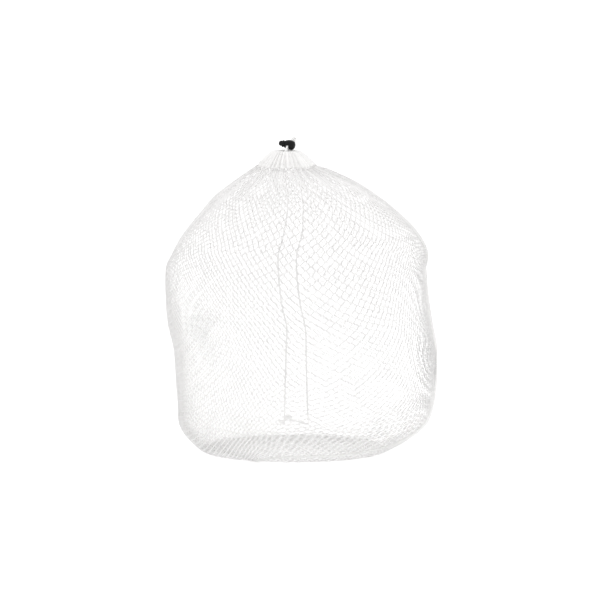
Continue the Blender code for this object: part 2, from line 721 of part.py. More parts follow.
KNOT_CENTRE = (-0.0195, 0.2720, 0.0048)
KNOT_RADII = (0.0058, 0.0062, 0.0044)
tails = (
    ("cord_tail_left", -STRAND_OFFSET, ((225, 292, 345, 370, 392, 405), (97.2, 96.8, 96.5, 97, 98, 99)), -1),
    ("cord_tail_right", STRAND_OFFSET, ((225, 262, 318, 345, 370, 405), (90, 89.8, 89.5, 89, 88.5, 88)), 1),
)
tail_lengths = {}
for name, offset, way, side in tails:
    pts = tail_path(offset, way)
    last = pts[-1]
    floor_z = CORD_RADIUS + FLOOR_CLEAR + 0.0004
    kx, ky, kz = KNOT_CENTRE
    pts += [
        Vector((last.x + 0.001 * side, last.y + 0.0004, 0.120)),
        Vector((last.x + 0.002 * side, last.y + 0.0012, 0.080)),
        Vector((last.x + 0.003 * side, last.y + 0.0040, 0.040)),
        Vector((last.x + 0.004 * side, last.y + 0.0110, 0.0150)),
        Vector((last.x + 0.005 * side, last.y + 0.0215, 0.0050)),
        Vector((last.x + 0.004 * side, last.y + 0.0340, floor_z)),
        Vector((kx + 0.0145 * side, ky - 0.0290, floor_z)),
        Vector((kx + 0.0060 * side, ky - 0.0150, floor_z + 0.0006)),
        Vector((kx + 0.0022 * side, ky - KNOT_RADII[1] - 0.0012, kz - 0.0012)),
    ]
    # closer together on the bend behind the lock and at the knot
    places = list(np.arange(0, 0.034, 0.0019)) + list(np.arange(0.034, 0.535, 0.0100)) + [-0.046, -0.036, -0.027, -0.019, -0.012, -0.006, -1e-9]
    p = through([tuple(v) for v in pts], places)
    tail_lengths[name] = float(np.linalg.norm(np.diff(p, axis=0), axis=1).sum())
    curve_points(name, p, CORD_RADIUS, cord_mat)

bm = bmesh.new()
bmesh.ops.create_uvsphere(bm, u_segments=16, v_segments=10, radius=1.0)
bmesh.ops.scale(bm, vec=KNOT_RADII, verts=bm.verts)
mesh = bpy.data.meshes.new("cord_end_knot")
bm.to_mesh(mesh)
bm.free()
knot = new_object("cord_end_knot", mesh, cord_mat)
knot.location = KNOT_CENTRE
smooth(knot, 60)
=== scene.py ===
"""The looks of the mesh laundry bag: open net panels of real thread, overlocked seams, a pleated mouth hem, braided cord and a detailed cord lock."""

import math

import bmesh
import bpy
import numpy as np
from mathutils import Matrix, Vector


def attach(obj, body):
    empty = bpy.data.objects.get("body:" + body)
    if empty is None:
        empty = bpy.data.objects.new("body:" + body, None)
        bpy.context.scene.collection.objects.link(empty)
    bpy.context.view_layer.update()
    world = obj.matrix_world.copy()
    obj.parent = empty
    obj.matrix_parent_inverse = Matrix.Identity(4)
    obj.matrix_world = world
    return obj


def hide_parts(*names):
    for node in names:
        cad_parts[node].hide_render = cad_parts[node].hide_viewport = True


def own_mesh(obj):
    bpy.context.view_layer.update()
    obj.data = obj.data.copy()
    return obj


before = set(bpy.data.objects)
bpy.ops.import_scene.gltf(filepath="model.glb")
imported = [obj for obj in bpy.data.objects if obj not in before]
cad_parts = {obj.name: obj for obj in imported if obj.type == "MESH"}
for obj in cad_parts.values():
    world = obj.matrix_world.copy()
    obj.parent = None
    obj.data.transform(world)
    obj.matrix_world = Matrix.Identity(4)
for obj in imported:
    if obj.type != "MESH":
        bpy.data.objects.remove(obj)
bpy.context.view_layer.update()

# ---------------------------------------------------------------- dimensions
# Cross-sections of the filled bag: height, left side, right side, front depth, back depth (mm).
STATIONS_MM = (
    (0.0, -146.0, 125.0, 126.0, 128.0),
    (3.0, -151.5, 131.5, 133.0, 134.0),
    (8.0, -157.0, 141.0, 142.0, 142.0),
    (16.0, -165.0, 155.0, 152.0, 151.0),
    (28.0, -174.5, 171.0, 163.0, 161.0),
    (45.0, -181.0, 187.0, 173.0, 171.0),
    (70.0, -182.0, 195.0, 181.0, 180.0),
    (102.0, -184.0, 198.8, 186.0, 185.0),
    (146.0, -187.0, 199.8, 189.0, 189.0),
    (185.0, -194.0, 191.5, 190.0, 190.0),
    (220.0, -198.6, 187.0, 189.0, 189.5),
    (250.0, -199.8, 184.5, 186.0, 187.0),
    (268.0, -198.5, 183.0, 182.5, 183.5),
    (286.0, -190.5, 186.2, 177.0, 178.5),
    (302.0, -182.0, 182.5, 170.0, 172.0),
    (322.0, -168.5, 169.5, 158.0, 160.0),
    (345.0, -149.5, 147.5, 138.0, 141.0),
    (368.0, -130.5, 120.5, 115.0, 118.0),
    (390.0, -103.5, 86.0, 87.0, 90.0),
    (405.0, -83.0, 52.0, 62.0, 64.0),
    (418.0, -64.5, 18.5, 41.5, 41.5),
)
BOTTOM_CENTRE_MM = (-8.0, 0.0)
SECTION_EXPONENT = 2.12  # a little squarer than an ellipse

# Seams, on the flattened bag: angle about the axis (0 right, 90 front, 180 left) and height, or a point on the floor (x, y in mm).
RIGHT_CORNER = (12.0, 90.0)
LEFT_CORNER = (189.5, 62.0)
SEAM_TOP_ANGLES = (9.0, 190.0)
BACK_SEAM_SPACING = 0.09  # the back panel is eased along the bottom seam, towards its ends
BOTTOM_SEAM_WALL = ((13.2, 70.0), (18.0, 49.0), (28.0, 31.0), (42.0, 20.0), (62.0, 13.5), (88.0, 12.0), (106.0, 7.0))
BOTTOM_SEAM_FLOOR_MM = ((-84.0, -80.0), (-106.0, -41.0), (-131.0, -12.0))
BOTTOM_SEAM_WALL_LEFT = ((184.5, 9.0), (187.5, 30.0))

NET_THICKNESS = 0.0010
SEAM_HALF_WIDTH = 0.0024
SEAM_HALF_THICKNESS = 0.0012
SEAM_GAP = 0.0005
FLOOR_CLEAR = 0.0003
PANEL_COLUMNS = 22
PANEL_ROWS = 24

HEM_CENTRE = (-0.0232, 0.0)
HEM_PROFILE = (  # outer radius, height, from the throat's top over the outside to the throat's bottom
    (0.0072, 0.4398), (0.0110, 0.4409), (0.0170, 0.4409), (0.0215, 0.4394), (0.0262, 0.4352),
    (0.0318, 0.4295), (0.0366, 0.4240), (0.0396, 0.4196), (0.0388, 0.4184), (0.0072, 0.4184),
)
THROAT_RADIUS = 0.0058
HEM_SEGMENTS = 32
CASING_RING_RADIUS = 0.0140
CASING_RING_HEIGHT = 0.4290
CASING_BORE = 0.0024

CORD_RADIUS = 0.0014
STRAND_OFFSET = 0.00170  # half the distance between the two strands in the lock
BEND_RADIUS = 0.0058

LOCK_CENTRE = (-0.0168, -0.0005, 0.4490)
LOCK_YAW = 22.0  # the plunger points left and this much to the back
LOCK_TILT = 8.0  # and this much up
HOLE_RISE = 30.0  # the cord hole climbs this much towards the back
BALL_HALF_LENGTH = 0.0080
BALL_RADIUS = 0.0072
BALL_POWER = 2.6
MOUTH_AT = 0.0068
BORE_RADIUS = 0.0049
BORE_FLOOR = -0.0053
POCKET_RADIUS = 0.0034
POCKET_FLOOR = -0.0067
PLUNGER_RADIUS = 0.0046
PLUNGER_END = -0.0020
PRESS_TRAVEL = 0.0030
SLOT_WIDTH = 0.0068
SLOT_LENGTH = 0.0064
BODY_SLOT_LENGTH = 0.0036
STRAND_AT = 0.0012  # the strands' place along the lock's axis
SLIDE_TRAVEL = 0.0050
SPRING_RADIUS = 0.0027
SPRING_WIRE = 0.00018
SPRING_TURNS = 3.0

TAIL_LENGTH = 0.600

MM = 0.001


# ---------------------------------------------------------------- camera
VIEW_TARGET = Vector((-0.0021, 0.0, 0.2205))
VIEW_DISTANCE = 11.0
VIEW_ELEVATION = math.radians(8.0)
camera_data = bpy.data.cameras.new("camera")
camera_data.sensor_width = 36.0
camera_data.lens = 36.0 * VIEW_DISTANCE / 0.878
camera_data.clip_end = 60.0
camera = bpy.data.objects.new("camera", camera_data)
bpy.context.scene.collection.objects.link(camera)
camera.location = VIEW_TARGET + Vector((0, -math.cos(VIEW_ELEVATION), math.sin(VIEW_ELEVATION))) * VIEW_DISTANCE
camera.rotation_euler = (VIEW_TARGET - camera.location).to_track_quat("-Z", "Y").to_euler()
bpy.context.scene.camera = camera

# ---------------------------------------------------------------- the bag's surface
def monotone(x, y):
    """A smooth curve through the points that never overshoots between them."""
    x, y = np.asarray(x, float), np.asarray(y, float)
    h, d = np.diff(x), np.diff(y) / np.diff(x)
    m = np.zeros_like(y)
    m[0], m[-1] = d[0], d[-1]
    for i in range(1, len(x) - 1):
        if d[i - 1] * d[i] > 0:
            w1, w2 = 2 * h[i] + h[i - 1], h[i] + 2 * h[i - 1]
            m[i] = (w1 + w2) / (w1 / d[i - 1] + w2 / d[i])

    def at(v):
        v = np.clip(np.asarray(v, float), x[0], x[-1])
        i = np.clip(np.searchsorted(x, v, side="right") - 1, 0, len(h) - 1)
        t = (v - x[i]) / h[i]
        return (
            (2 * t**3 - 3 * t**2 + 1) * y[i]
            + (t**3 - 2 * t**2 + t) * h[i] * m[i]
            + (3 * t**2 - 2 * t**3) * y[i + 1]
            + (t**3 - t**2) * h[i] * m[i + 1]
        )

    return at


def make_surface():
    table = np.array(STATIONS_MM) * MM
    z, left, right, front, back = table.T
    half, centre = (right - left) / 2, (right + left) / 2
    deep, mid = (front + back) / 2, (back - front) / 2
    mean = (half + deep) / 2
    run = np.concatenate(([mean[0]], mean[0] + np.cumsum(np.hypot(np.diff(mean), np.diff(z)))))
    rho = run / run[-1]
    curves = {k: monotone(rho, v) for k, v in (("z", z), ("a", half), ("cx", centre), ("b", deep), ("cy", mid))}
    height = monotone(z, rho)
    return rho[0], run[-1], curves, height


RHO_FLOOR, RUN_LENGTH, CURVES, RHO_AT_HEIGHT = make_surface()


def surface(disk_x, disk_y):
    """A point of the flattened bag (a unit disk whose edge is the mouth, right at +x, front at +y) on the filled bag."""
    disk_x, disk_y = np.asarray(disk_x, float), np.asarray(disk_y, float)
    rho, angle = np.hypot(disk_x, disk_y), np.arctan2(disk_y, disk_x)
    held = np.maximum(rho, RHO_FLOOR)
    c, s = np.cos(angle), np.sin(angle)
    e = 2 / SECTION_EXPONENT
    px = CURVES["a"](held) * np.sign(c) * np.abs(c) ** e
    py = CURVES["b"](held) * np.sign(s) * np.abs(s) ** e
    x, y = CURVES["cx"](held) + px, CURVES["cy"](held) - py
    z = CURVES["z"](held)
    k = np.minimum(rho / RHO_FLOOR, 1.0)
    bx, by = BOTTOM_CENTRE_MM[0] * MM, BOTTOM_CENTRE_MM[1] * MM
    x, y = bx + (x - bx) * k, by + (y - by) * k
    return np.stack([x, y, z], axis=-1)


def outward(disk_x, disk_y):
    d = 1e-4
    p = surface(disk_x, disk_y)
    u = surface(disk_x + d, disk_y) - p
    v = surface(disk_x, disk_y + d) - p
    n = np.cross(u, v)
    n = n / np.maximum(np.linalg.norm(n, axis=-1, keepdims=True), 1e-12)
    return n


def on_wall(angle, height):
    rho = float(RHO_AT_HEIGHT(height * MM))
    return rho * math.cos(math.radians(angle)), rho * math.sin(math.radians(angle))


def on_floor(x, y):
    """The disk point that lies at x, y (mm) on the flat bottom."""
    bx, by = BOTTOM_CENTRE_MM
    angle = math.atan2(-(y - by), x - bx)
    for _ in range(30):
        edge = surface(RHO_FLOOR * math.cos(angle), RHO_FLOOR * math.sin(angle)) / MM
        turn = math.atan2(-(y - by), x - bx) - math.atan2(-(edge[1] - by), edge[0] - bx)
        angle += turn
    edge = surface(RHO_FLOOR * math.cos(angle), RHO_FLOOR * math.sin(angle)) / MM
    k = math.hypot(x - bx, y - by) / math.hypot(edge[0] - bx, edge[1] - by)
    return k * RHO_FLOOR * math.cos(angle), k * RHO_FLOOR * math.sin(angle)


def through(points, samples):
    """A Catmull-Rom curve through the points, resampled evenly by length, or at the given distances from its ends."""
    p = np.array(points, float)
    ext = np.vstack([2 * p[0] - p[1], p, 2 * p[-1] - p[-2]])
    fine = []
    for i in range(len(p) - 1):
        a, b, c, d = ext[i : i + 4]
        ta, tb = 0.0, math.sqrt(np.linalg.norm(b - a))
        tc = tb + math.sqrt(np.linalg.norm(c - b))
        td = tc + math.sqrt(np.linalg.norm(d - c))
        for t in np.linspace(tb, tc, 60, endpoint=False):
            ab = (tb - t) / (tb - ta) * a + (t - ta) / (tb - ta) * b
            bc = (tc - t) / (tc - tb) * b + (t - tb) / (tc - tb) * c
            cd = (td - t) / (td - tc) * c + (t - tc) / (td - tc) * d
            abc = (tc - t) / (tc - ta) * ab + (t - ta) / (tc - ta) * bc
            bcd = (td - t) / (td - tb) * bc + (t - tb) / (td - tb) * cd
            fine.append((tc - t) / (tc - tb) * abc + (t - tb) / (tc - tb) * bcd)
    fine.append(p[-1])
    fine = np.array(fine)
    run = np.concatenate(([0.0], np.cumsum(np.linalg.norm(np.diff(fine, axis=0), axis=1))))
    if isinstance(samples, int):
        want = np.linspace(0, run[-1], samples)
    else:
        want = np.array([d if d >= 0 else run[-1] + d for d in samples])
    return np.stack([np.interp(want, run, fine[:, k]) for k in range(fine.shape[1])], axis=-1)


def bottom_seam_disk(samples):
    """The bottom seam from the right corner to the left one, in disk coordinates, evenly spaced on the bag."""
    points = [on_wall(*RIGHT_CORNER)]
    points += [on_wall(*p) for p in BOTTOM_SEAM_WALL]
    points += [on_floor(*p) for p in BOTTOM_SEAM_FLOOR_MM]
    points += [on_wall(*p) for p in BOTTOM_SEAM_WALL_LEFT]
    points.append(on_wall(*LEFT_CORNER))
    fine = through(points, 800)
    space = surface(fine[:, 0], fine[:, 1])
    run = np.concatenate(([0.0], np.cumsum(np.linalg.norm(np.diff(space, axis=0), axis=1))))
    want = np.linspace(0, run[-1], samples)
    return np.stack([np.interp(want, run, fine[:, k]) for k in range(2)], axis=-1), run[-1]


SEAM_TABLE, BOTTOM_SEAM_LENGTH = bottom_seam_disk(400)


def panel_disk(side, s, t):
    """The disk point of a panel: s from the right seam to the left one, t from the bottom seam to the mouth, even by length."""
    s, t = np.broadcast_arrays(np.asarray(s, float), np.asarray(t, float))
    flat_s = s.ravel()
    k = np.linspace(0, 1, len(SEAM_TABLE))
    place = flat_s if side == "front" else flat_s - BACK_SEAM_SPACING * np.sin(2 * np.pi * flat_s)
    start = np.stack([np.interp(place, k, SEAM_TABLE[:, i]) for i in range(2)], axis=-1)
    first, last = SEAM_TOP_ANGLES
    if side == "front":
        angle = np.radians(first + (last - first) * flat_s)
    else:
        angle = np.radians(first - (360 - last + first) * flat_s)
    end = np.stack([np.cos(angle), np.sin(angle)], axis=-1)
    steps = np.linspace(0, 1, 200)
    lines = start[:, None, :] + (end - start)[:, None, :] * steps[None, :, None]
    space = surface(lines[..., 0], lines[..., 1])
    run = np.concatenate(
        [np.zeros((len(flat_s), 1)), np.cumsum(np.linalg.norm(np.diff(space, axis=1), axis=2), axis=1)], axis=1
    )
    out = np.empty((len(flat_s), 2))
    for i, want in enumerate(t.ravel()):
        q = np.interp(want * run[i, -1], run[i], steps)
        out[i] = start[i] + (end[i] - start[i]) * q
    return out.reshape(*s.shape, 2)


def column_length(side, s):
    d = panel_disk(side, np.full(160, s), np.linspace(0, 1, 160))
    p = surface(d[:, 0], d[:, 1])
    return float(np.linalg.norm(np.diff(p, axis=0), axis=1).sum())


def row_length(side, t):
    d = panel_disk(side, np.linspace(0, 1, 120), np.full(120, t))
    p = surface(d[:, 0], d[:, 1])
    return float(np.linalg.norm(np.diff(p, axis=0), axis=1).sum())


# ---------------------------------------------------------------- the lock's own axes
yaw, tilt, rise = (math.radians(a) for a in (LOCK_YAW, LOCK_TILT, HOLE_RISE))
U = Vector((-math.cos(yaw) * math.cos(tilt), math.sin(yaw) * math.cos(tilt), math.sin(tilt)))
FLAT = Vector((math.sin(yaw), math.cos(yaw), 0.0))  # level, across the lock's axis, to the back
UPRIGHT = FLAT.cross(U)
if UPRIGHT.z < 0:
    UPRIGHT = -UPRIGHT
H = FLAT * math.cos(rise) + UPRIGHT * math.sin(rise)  # along the cord hole, the way the tails leave
W = UPRIGHT * math.cos(rise) - FLAT * math.sin(rise)  # across both: from one strand to the other
C = Vector(LOCK_CENTRE)
# local +Z is the lock's axis towards the plunger, local +X the cord hole
third = U.cross(H)
LOCK_FRAME = Matrix.Translation(C) @ Matrix((H, third, U)).transposed().to_4x4()


def at(u, h, w):
    return C + U * u + H * h + W * w


# ---------------------------------------------------------------- cord
def arc(centre, start, plane_a, plane_b, radius, a0, a1, n):
    return [centre + plane_a * (radius * math.cos(a)) + plane_b * (radius * math.sin(a)) for a in np.linspace(a0, a1, n)]


DOWN = Vector((0, 0, -1))


def strand_into_lock(offset, ring_angle, ring_turn):
    """A strand's arc along the casing ring and its rise, round into the lock's hole; joined() links the two and runs it
    straight on to the end of the slide.
    """
    radius = BEND_RADIUS + (offset + STRAND_OFFSET)
    entry = at(STRAND_AT, -BALL_RADIUS * 0.98, offset)
    pivot = entry - W * radius
    sweep = math.radians(90 - HOLE_RISE)
    rising = []
    for a in np.linspace(-sweep, 0, 7):
        # angle 0 is at the entry; before it the strand stands upright in front of the lock
        rising.append(pivot + W * (radius * math.cos(a)) + H * (radius * math.sin(a)))
    foot = rising[0]
    heading = (rising[1] - rising[0]).normalized()
    hx, hy = HEM_CENTRE
    ring = []
    for k in range(ring_turn[2]):
        f = math.radians(ring_turn[0] + (ring_turn[1] - ring_turn[0]) * k / (ring_turn[2] - 1))
        ring.append(Vector((hx + CASING_RING_RADIUS * math.sin(f), hy - CASING_RING_RADIUS * math.cos(f), CASING_RING_HEIGHT)))
    return ring, foot, heading, rising


# the strand on the lower, inner side of the bend comes from the right of the ring, the other from the left
ring_a, foot_a, head_a, rise_a = strand_into_lock(-STRAND_OFFSET, 0, (180.0, 62.0, 10))
ring_b, foot_b, head_b, rise_b = strand_into_lock(STRAND_OFFSET, 0, (180.0, 318.0, 10))
STRAIGHT_END = BALL_RADIUS + SLIDE_TRAVEL + 0.0008


def joined(ring, foot, heading, rising, offset):
    pts = list(ring)
    a, d0 = ring[-1], (ring[-1] - ring[-2]).normalized()
    gap = (foot - a).length
    for k in range(1, 7):
        t = k / 7
        p1, p2 = a + d0 * gap * 0.42, foot - heading * gap * 0.42
        pts.append(a * (1 - t) ** 3 + p1 * 3 * t * (1 - t) ** 2 + p2 * 3 * t * t * (1 - t) + foot * t**3)
    pts += rising
    for h in np.linspace(-BALL_RADIUS * 0.98, STRAIGHT_END, 6)[1:]:
        pts.append(at(STRAND_AT, float(h), offset))
    return pts


path_a = joined(ring_a, foot_a, head_a, rise_a, -STRAND_OFFSET)
path_b = joined(ring_b, foot_b, head_b, rise_b, STRAND_OFFSET)
whole = [tuple(p) for p in reversed(path_a)] + [tuple(p) for p in path_b[1:]]
HELD_CORD = np.array(whole)
held_run = float(np.linalg.norm(np.diff(HELD_CORD, axis=0), axis=1).sum())
held_points = []
run = np.concatenate(([0.0], np.cumsum(np.linalg.norm(np.diff(HELD_CORD, axis=0), axis=1))))
for want in np.linspace(0, run[-1], 72):
    held_points.append([float(np.interp(want, run, HELD_CORD[:, k])) for k in range(3)])
SURFACE_CLEAR = 0.0016


def tail_path(offset, way, length):
    """Out of the lock, down over the hem and along the bag's back to 152 mm up; the loop below carries it down to the
    floor and out behind it.
    """
    radius = BEND_RADIUS + (offset + STRAND_OFFSET)
    start_h = STRAIGHT_END + 0.0003
    start = at(STRAND_AT, start_h, offset)
    pivot = start - W * radius
    pts = []
    for a in np.linspace(0, math.radians(72), 6):
        pts.append(pivot + W * (radius * math.cos(a)) + H * (radius * math.sin(a)))
    # down the back of the bag, along its surface; near the mouth the cord bridges the gathers
    for height in (409, 398, 384, 365, 342, 318, 292, 262, 235, 208, 182, 152):
        angle = float(np.interp(height, way[0], way[1]))
        d = on_wall(-angle, height)
        p = surface(*d)
        n = outward(np.float64(d[0]), np.float64(d[1]))
        lift = CORD_RADIUS + SURFACE_CLEAR + float(np.interp(height, (320, 345, 384, 409), (0.0, 0.0022, 0.0026, 0.0052)))
        pts.append(Vector(p + n * lift))
    return pts


KNOT_CENTRE = (-0.0195, 0.2720, 0.0048)
KNOT_RADII = (0.0058, 0.0062, 0.0044)
tails = (
    ("cord_tail_left", -STRAND_OFFSET, ((225, 292, 345, 370, 392, 405), (97.2, 96.8, 96.5, 97, 98, 99)), -1),
    ("cord_tail_right", STRAND_OFFSET, ((225, 262, 318, 345, 370, 405), (90, 89.8, 89.5, 89, 88.5, 88)), 1),
)
TAIL_ROUTES = []
for name, offset, way, side in tails:
    pts = tail_path(offset, way, TAIL_LENGTH)
    last = pts[-1]
    floor_z = CORD_RADIUS + FLOOR_CLEAR + 0.0004
    kx, ky, kz = KNOT_CENTRE
    pts += [
        Vector((last.x + 0.001 * side, last.y + 0.0004, 0.120)),
        Vector((last.x + 0.002 * side, last.y + 0.0012, 0.080)),
        Vector((last.x + 0.003 * side, last.y + 0.0040, 0.040)),
        Vector((last.x + 0.004 * side, last.y + 0.0110, 0.0150)),
        Vector((last.x + 0.005 * side, last.y + 0.0215, 0.0050)),
        Vector((last.x + 0.004 * side, last.y + 0.0340, floor_z)),
        Vector((kx + 0.0145 * side, ky - 0.0290, floor_z)),
        Vector((kx + 0.0060 * side, ky - 0.0150, floor_z + 0.0006)),
        Vector((kx + 0.0022 * side, ky - KNOT_RADII[1] - 0.0012, kz - 0.0012)),
    ]
    # closer together on the bend behind the lock and at the knot
    places = list(np.arange(0, 0.034, 0.0019)) + list(np.arange(0.034, 0.535, 0.0100)) + [-0.046, -0.036, -0.027, -0.019, -0.012, -0.006, -1e-9]
    TAIL_ROUTES.append((name, pts, places))

# ---------------------------------------------------------------- small helpers
def link(name, mesh, mat, body):
    obj = bpy.data.objects.new(name, mesh)
    bpy.context.scene.collection.objects.link(obj)
    if mat is not None:
        mesh.materials.append(mat)
    if body:
        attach(obj, body)
    return obj


def mesh_from(name, points, faces, uv_name=None, uv=None, smooth=True):
    mesh = bpy.data.meshes.new(name)
    mesh.from_pydata([tuple(p) for p in points], [], faces)
    if uv is not None:
        layer = mesh.uv_layers.new(name=uv_name)
        layer.data.foreach_set("uv", np.asarray(uv, np.float32).ravel())
    mesh.update()
    if smooth:
        mesh.shade_smooth()
    return mesh


def smoothstep(x):
    x = np.clip(x, 0.0, 1.0)
    return x * x * (3 - 2 * x)


def tube(points, radii, sides, normals=None, widths=None, ends=True, relief=None):
    """Rings along a path. radii is the half thickness, widths the half width for a flat ribbon. Returns points, faces, uv per corner."""
    p = np.asarray(points, float)
    n_rings = len(p)
    along = np.gradient(p, axis=0)
    along /= np.maximum(np.linalg.norm(along, axis=1, keepdims=True), 1e-12)
    if normals is None:
        # the least twisting frame
        ref = np.array([0.0, 0.0, 1.0]) if abs(along[0][2]) < 0.9 else np.array([1.0, 0.0, 0.0])
        nrm = np.empty_like(p)
        v = ref - along[0] * ref.dot(along[0])
        nrm[0] = v / np.linalg.norm(v)
        for i in range(1, n_rings):
            v = nrm[i - 1] - along[i] * nrm[i - 1].dot(along[i])
            nrm[i] = v / np.linalg.norm(v)
    else:
        nrm = np.asarray(normals, float)
        nrm = nrm - along * (nrm * along).sum(1, keepdims=True)
        nrm /= np.maximum(np.linalg.norm(nrm, axis=1, keepdims=True), 1e-12)
    across = np.cross(along, nrm)
    run = np.concatenate(([0.0], np.cumsum(np.linalg.norm(np.diff(p, axis=0), axis=1))))
    radii = np.broadcast_to(np.asarray(radii, float), n_rings)
    widths = radii if widths is None else np.broadcast_to(np.asarray(widths, float), n_rings)
    a = 2 * np.pi * np.arange(sides) / sides
    c, s = np.cos(a), np.sin(a)
    if relief is not None:
        k = relief(a[None, :], run[:, None])
    else:
        k = np.ones((n_rings, sides))
    verts = p[:, None, :] + across[:, None, :] * (widths[:, None] * c * k)[..., None] + nrm[:, None, :] * (radii[:, None] * s * k)[..., None]
    verts = verts.reshape(-1, 3)
    i, j = np.meshgrid(np.arange(n_rings - 1), np.arange(sides), indexing="ij")
    i, j = i.ravel(), j.ravel()
    j2 = (j + 1) % sides
    quads = np.stack([i * sides + j, i * sides + j2, (i + 1) * sides + j2, (i + 1) * sides + j], axis=1)
    u0, u1 = j / sides, (j + 1) / sides
    uv = np.stack([np.stack([u0, run[i]], 1), np.stack([u1, run[i]], 1), np.stack([u1, run[i + 1]], 1), np.stack([u0, run[i + 1]], 1)], axis=1)
    faces = quads.tolist()
    uv = uv.reshape(-1, 2)
    if ends:
        faces.append(list(range(sides))[::-1])
        faces.append([(n_rings - 1) * sides + m for m in range(sides)])
        uv = np.vstack([uv, np.zeros((sides, 2)), np.full((sides, 2), run[-1])])
    return verts, faces, uv


class Gather:
    """Several tubes in one mesh."""

    def __init__(self):
        self.points, self.faces, self.uv, self.count = [], [], [], 0

    def add(self, part):
        verts, faces, uv = part
        self.points.append(verts)
        self.faces += [[v + self.count for v in f] for f in faces]
        self.uv.append(uv)
        self.count += len(verts)

    def mesh(self, name, uv_name="run"):
        return mesh_from(name, np.vstack(self.points), self.faces, uv_name, np.vstack(self.uv))


# ---------------------------------------------------------------- materials
def shader(name):
    m = bpy.data.materials.new(name)
    m.use_nodes = True
    t = m.node_tree
    return m, t, t.nodes["Principled BSDF"]


def node(tree, kind, **values):
    n = tree.nodes.new(kind)
    for k, v in values.items():
        if k.startswith("in_"):
            key = k[3:]
            n.inputs[int(key) if key.isdigit() else key].default_value = v
        else:
            setattr(n, k, v)
    return n


def sum_of(tree, op, a, b):
    n = node(tree, "ShaderNodeMath", operation=op)
    for i, v in enumerate((a, b)):
        if isinstance(v, (int, float)):
            n.inputs[i].default_value = v
        elif v is not None:
            tree.links.new(v, n.inputs[i])
    return n.outputs[0]


def run_coordinates(tree, uv_name="run"):
    uv = node(tree, "ShaderNodeUVMap", uv_map=uv_name)
    split = node(tree, "ShaderNodeSeparateXYZ")
    tree.links.new(uv.outputs[0], split.inputs[0])
    return split.outputs[0], split.outputs[1]


def tinted(tree, p, low, high, scale, detail=3.0, groove_shade_height=None, groove_shade_level=0.93):
    """Base colour between two near tones by noise, with painted shade: darker where the given height is low, in the
    pattern's grooves.
    """
    coord = node(tree, "ShaderNodeTexCoord")
    noise = node(tree, "ShaderNodeTexNoise", in_Scale=scale, in_Detail=detail)
    tree.links.new(coord.outputs["Object"], noise.inputs["Vector"])
    ramp = node(tree, "ShaderNodeValToRGB")
    ramp.color_ramp.elements[0].position = 0.35
    ramp.color_ramp.elements[1].position = 0.68
    ramp.color_ramp.elements[0].color = (*low, 1)
    ramp.color_ramp.elements[1].color = (*high, 1)
    tree.links.new(noise.outputs["Fac"], ramp.inputs[0])
    out = ramp.outputs[0]
    # painted shade: the colour is scaled down towards the lowest level where the height is low, in the grooves
    if groove_shade_height is not None:
        level = node(tree, "ShaderNodeMapRange", in_1=0.0, in_2=1.0, in_3=groove_shade_level, in_4=1.0)
        tree.links.new(groove_shade_height, level.inputs[0])
        groove_shaded = node(tree, "ShaderNodeVectorMath", operation="SCALE")
        tree.links.new(out, groove_shaded.inputs[0])
        tree.links.new(level.outputs[0], groove_shaded.inputs["Scale"])
        out = groove_shaded.outputs[0]
    tree.links.new(out, p.inputs["Base Color"])


def bumped(tree, p, height, distance, strength=1.0, fine_scale=0.0, fine=0.25):
    if fine_scale:
        coord = node(tree, "ShaderNodeTexCoord")
        noise = node(tree, "ShaderNodeTexNoise", in_Scale=fine_scale, in_Detail=2.0)
        tree.links.new(coord.outputs["Object"], noise.inputs["Vector"])
        scaled = sum_of(tree, "MULTIPLY", noise.outputs["Fac"], fine)
        height = scaled if height is None else sum_of(tree, "ADD", height, scaled)
    bump = node(tree, "ShaderNodeBump", in_Strength=strength, in_Distance=distance)
    tree.links.new(height, bump.inputs["Height"])
    tree.links.new(bump.outputs[0], p.inputs["Normal"])


def braid_height(tree, around, pitch):
    """Two families of strands crossing on a round cord."""
    u, v = run_coordinates(tree)
    turn = sum_of(tree, "MULTIPLY", u, 2 * math.pi * around)
    climb = sum_of(tree, "MULTIPLY", v, 2 * math.pi / pitch)
    a = sum_of(tree, "SINE", sum_of(tree, "ADD", turn, climb), None)
    b = sum_of(tree, "SINE", sum_of(tree, "SUBTRACT", turn, climb), None)
    h = sum_of(tree, "MULTIPLY", a, b)
    h = sum_of(tree, "MULTIPLY", h, 0.5)
    return sum_of(tree, "ADD", h, 0.5)


def chain_height(tree, pitch, slant):
    """The V-shaped loops of a knitted chain along a thread."""
    u, v = run_coordinates(tree)
    half = sum_of(tree, "ABSOLUTE", sum_of(tree, "SUBTRACT", sum_of(tree, "FRACT", sum_of(tree, "MULTIPLY", u, 2.0), None), 0.5), None)
    lean = sum_of(tree, "MULTIPLY", half, slant)
    climb = sum_of(tree, "MULTIPLY", v, 2 * math.pi / pitch)
    h = sum_of(tree, "SINE", sum_of(tree, "ADD", climb, lean), None)
    return sum_of(tree, "ADD", sum_of(tree, "MULTIPLY", h, 0.5), 0.5)


def net_material():
    m, t, p = shader("net_thread")
    h = chain_height(t, 0.0019, 5.0)
    # painted shade: the thread's colour darkens in the grooves between the chain's loops
    tinted(t, p, NET_LOW, NET_HIGH, 24.0, 3.0, h, 0.95)
    bumped(t, p, h, 0.00012, 0.8, 2600.0, 0.35)
    p.inputs["Roughness"].default_value = 0.62
    p.inputs["Specular IOR Level"].default_value = 0.35
    p.inputs["Sheen Weight"].default_value = 0.12
    p.inputs["Sheen Roughness"].default_value = 0.4
    return m


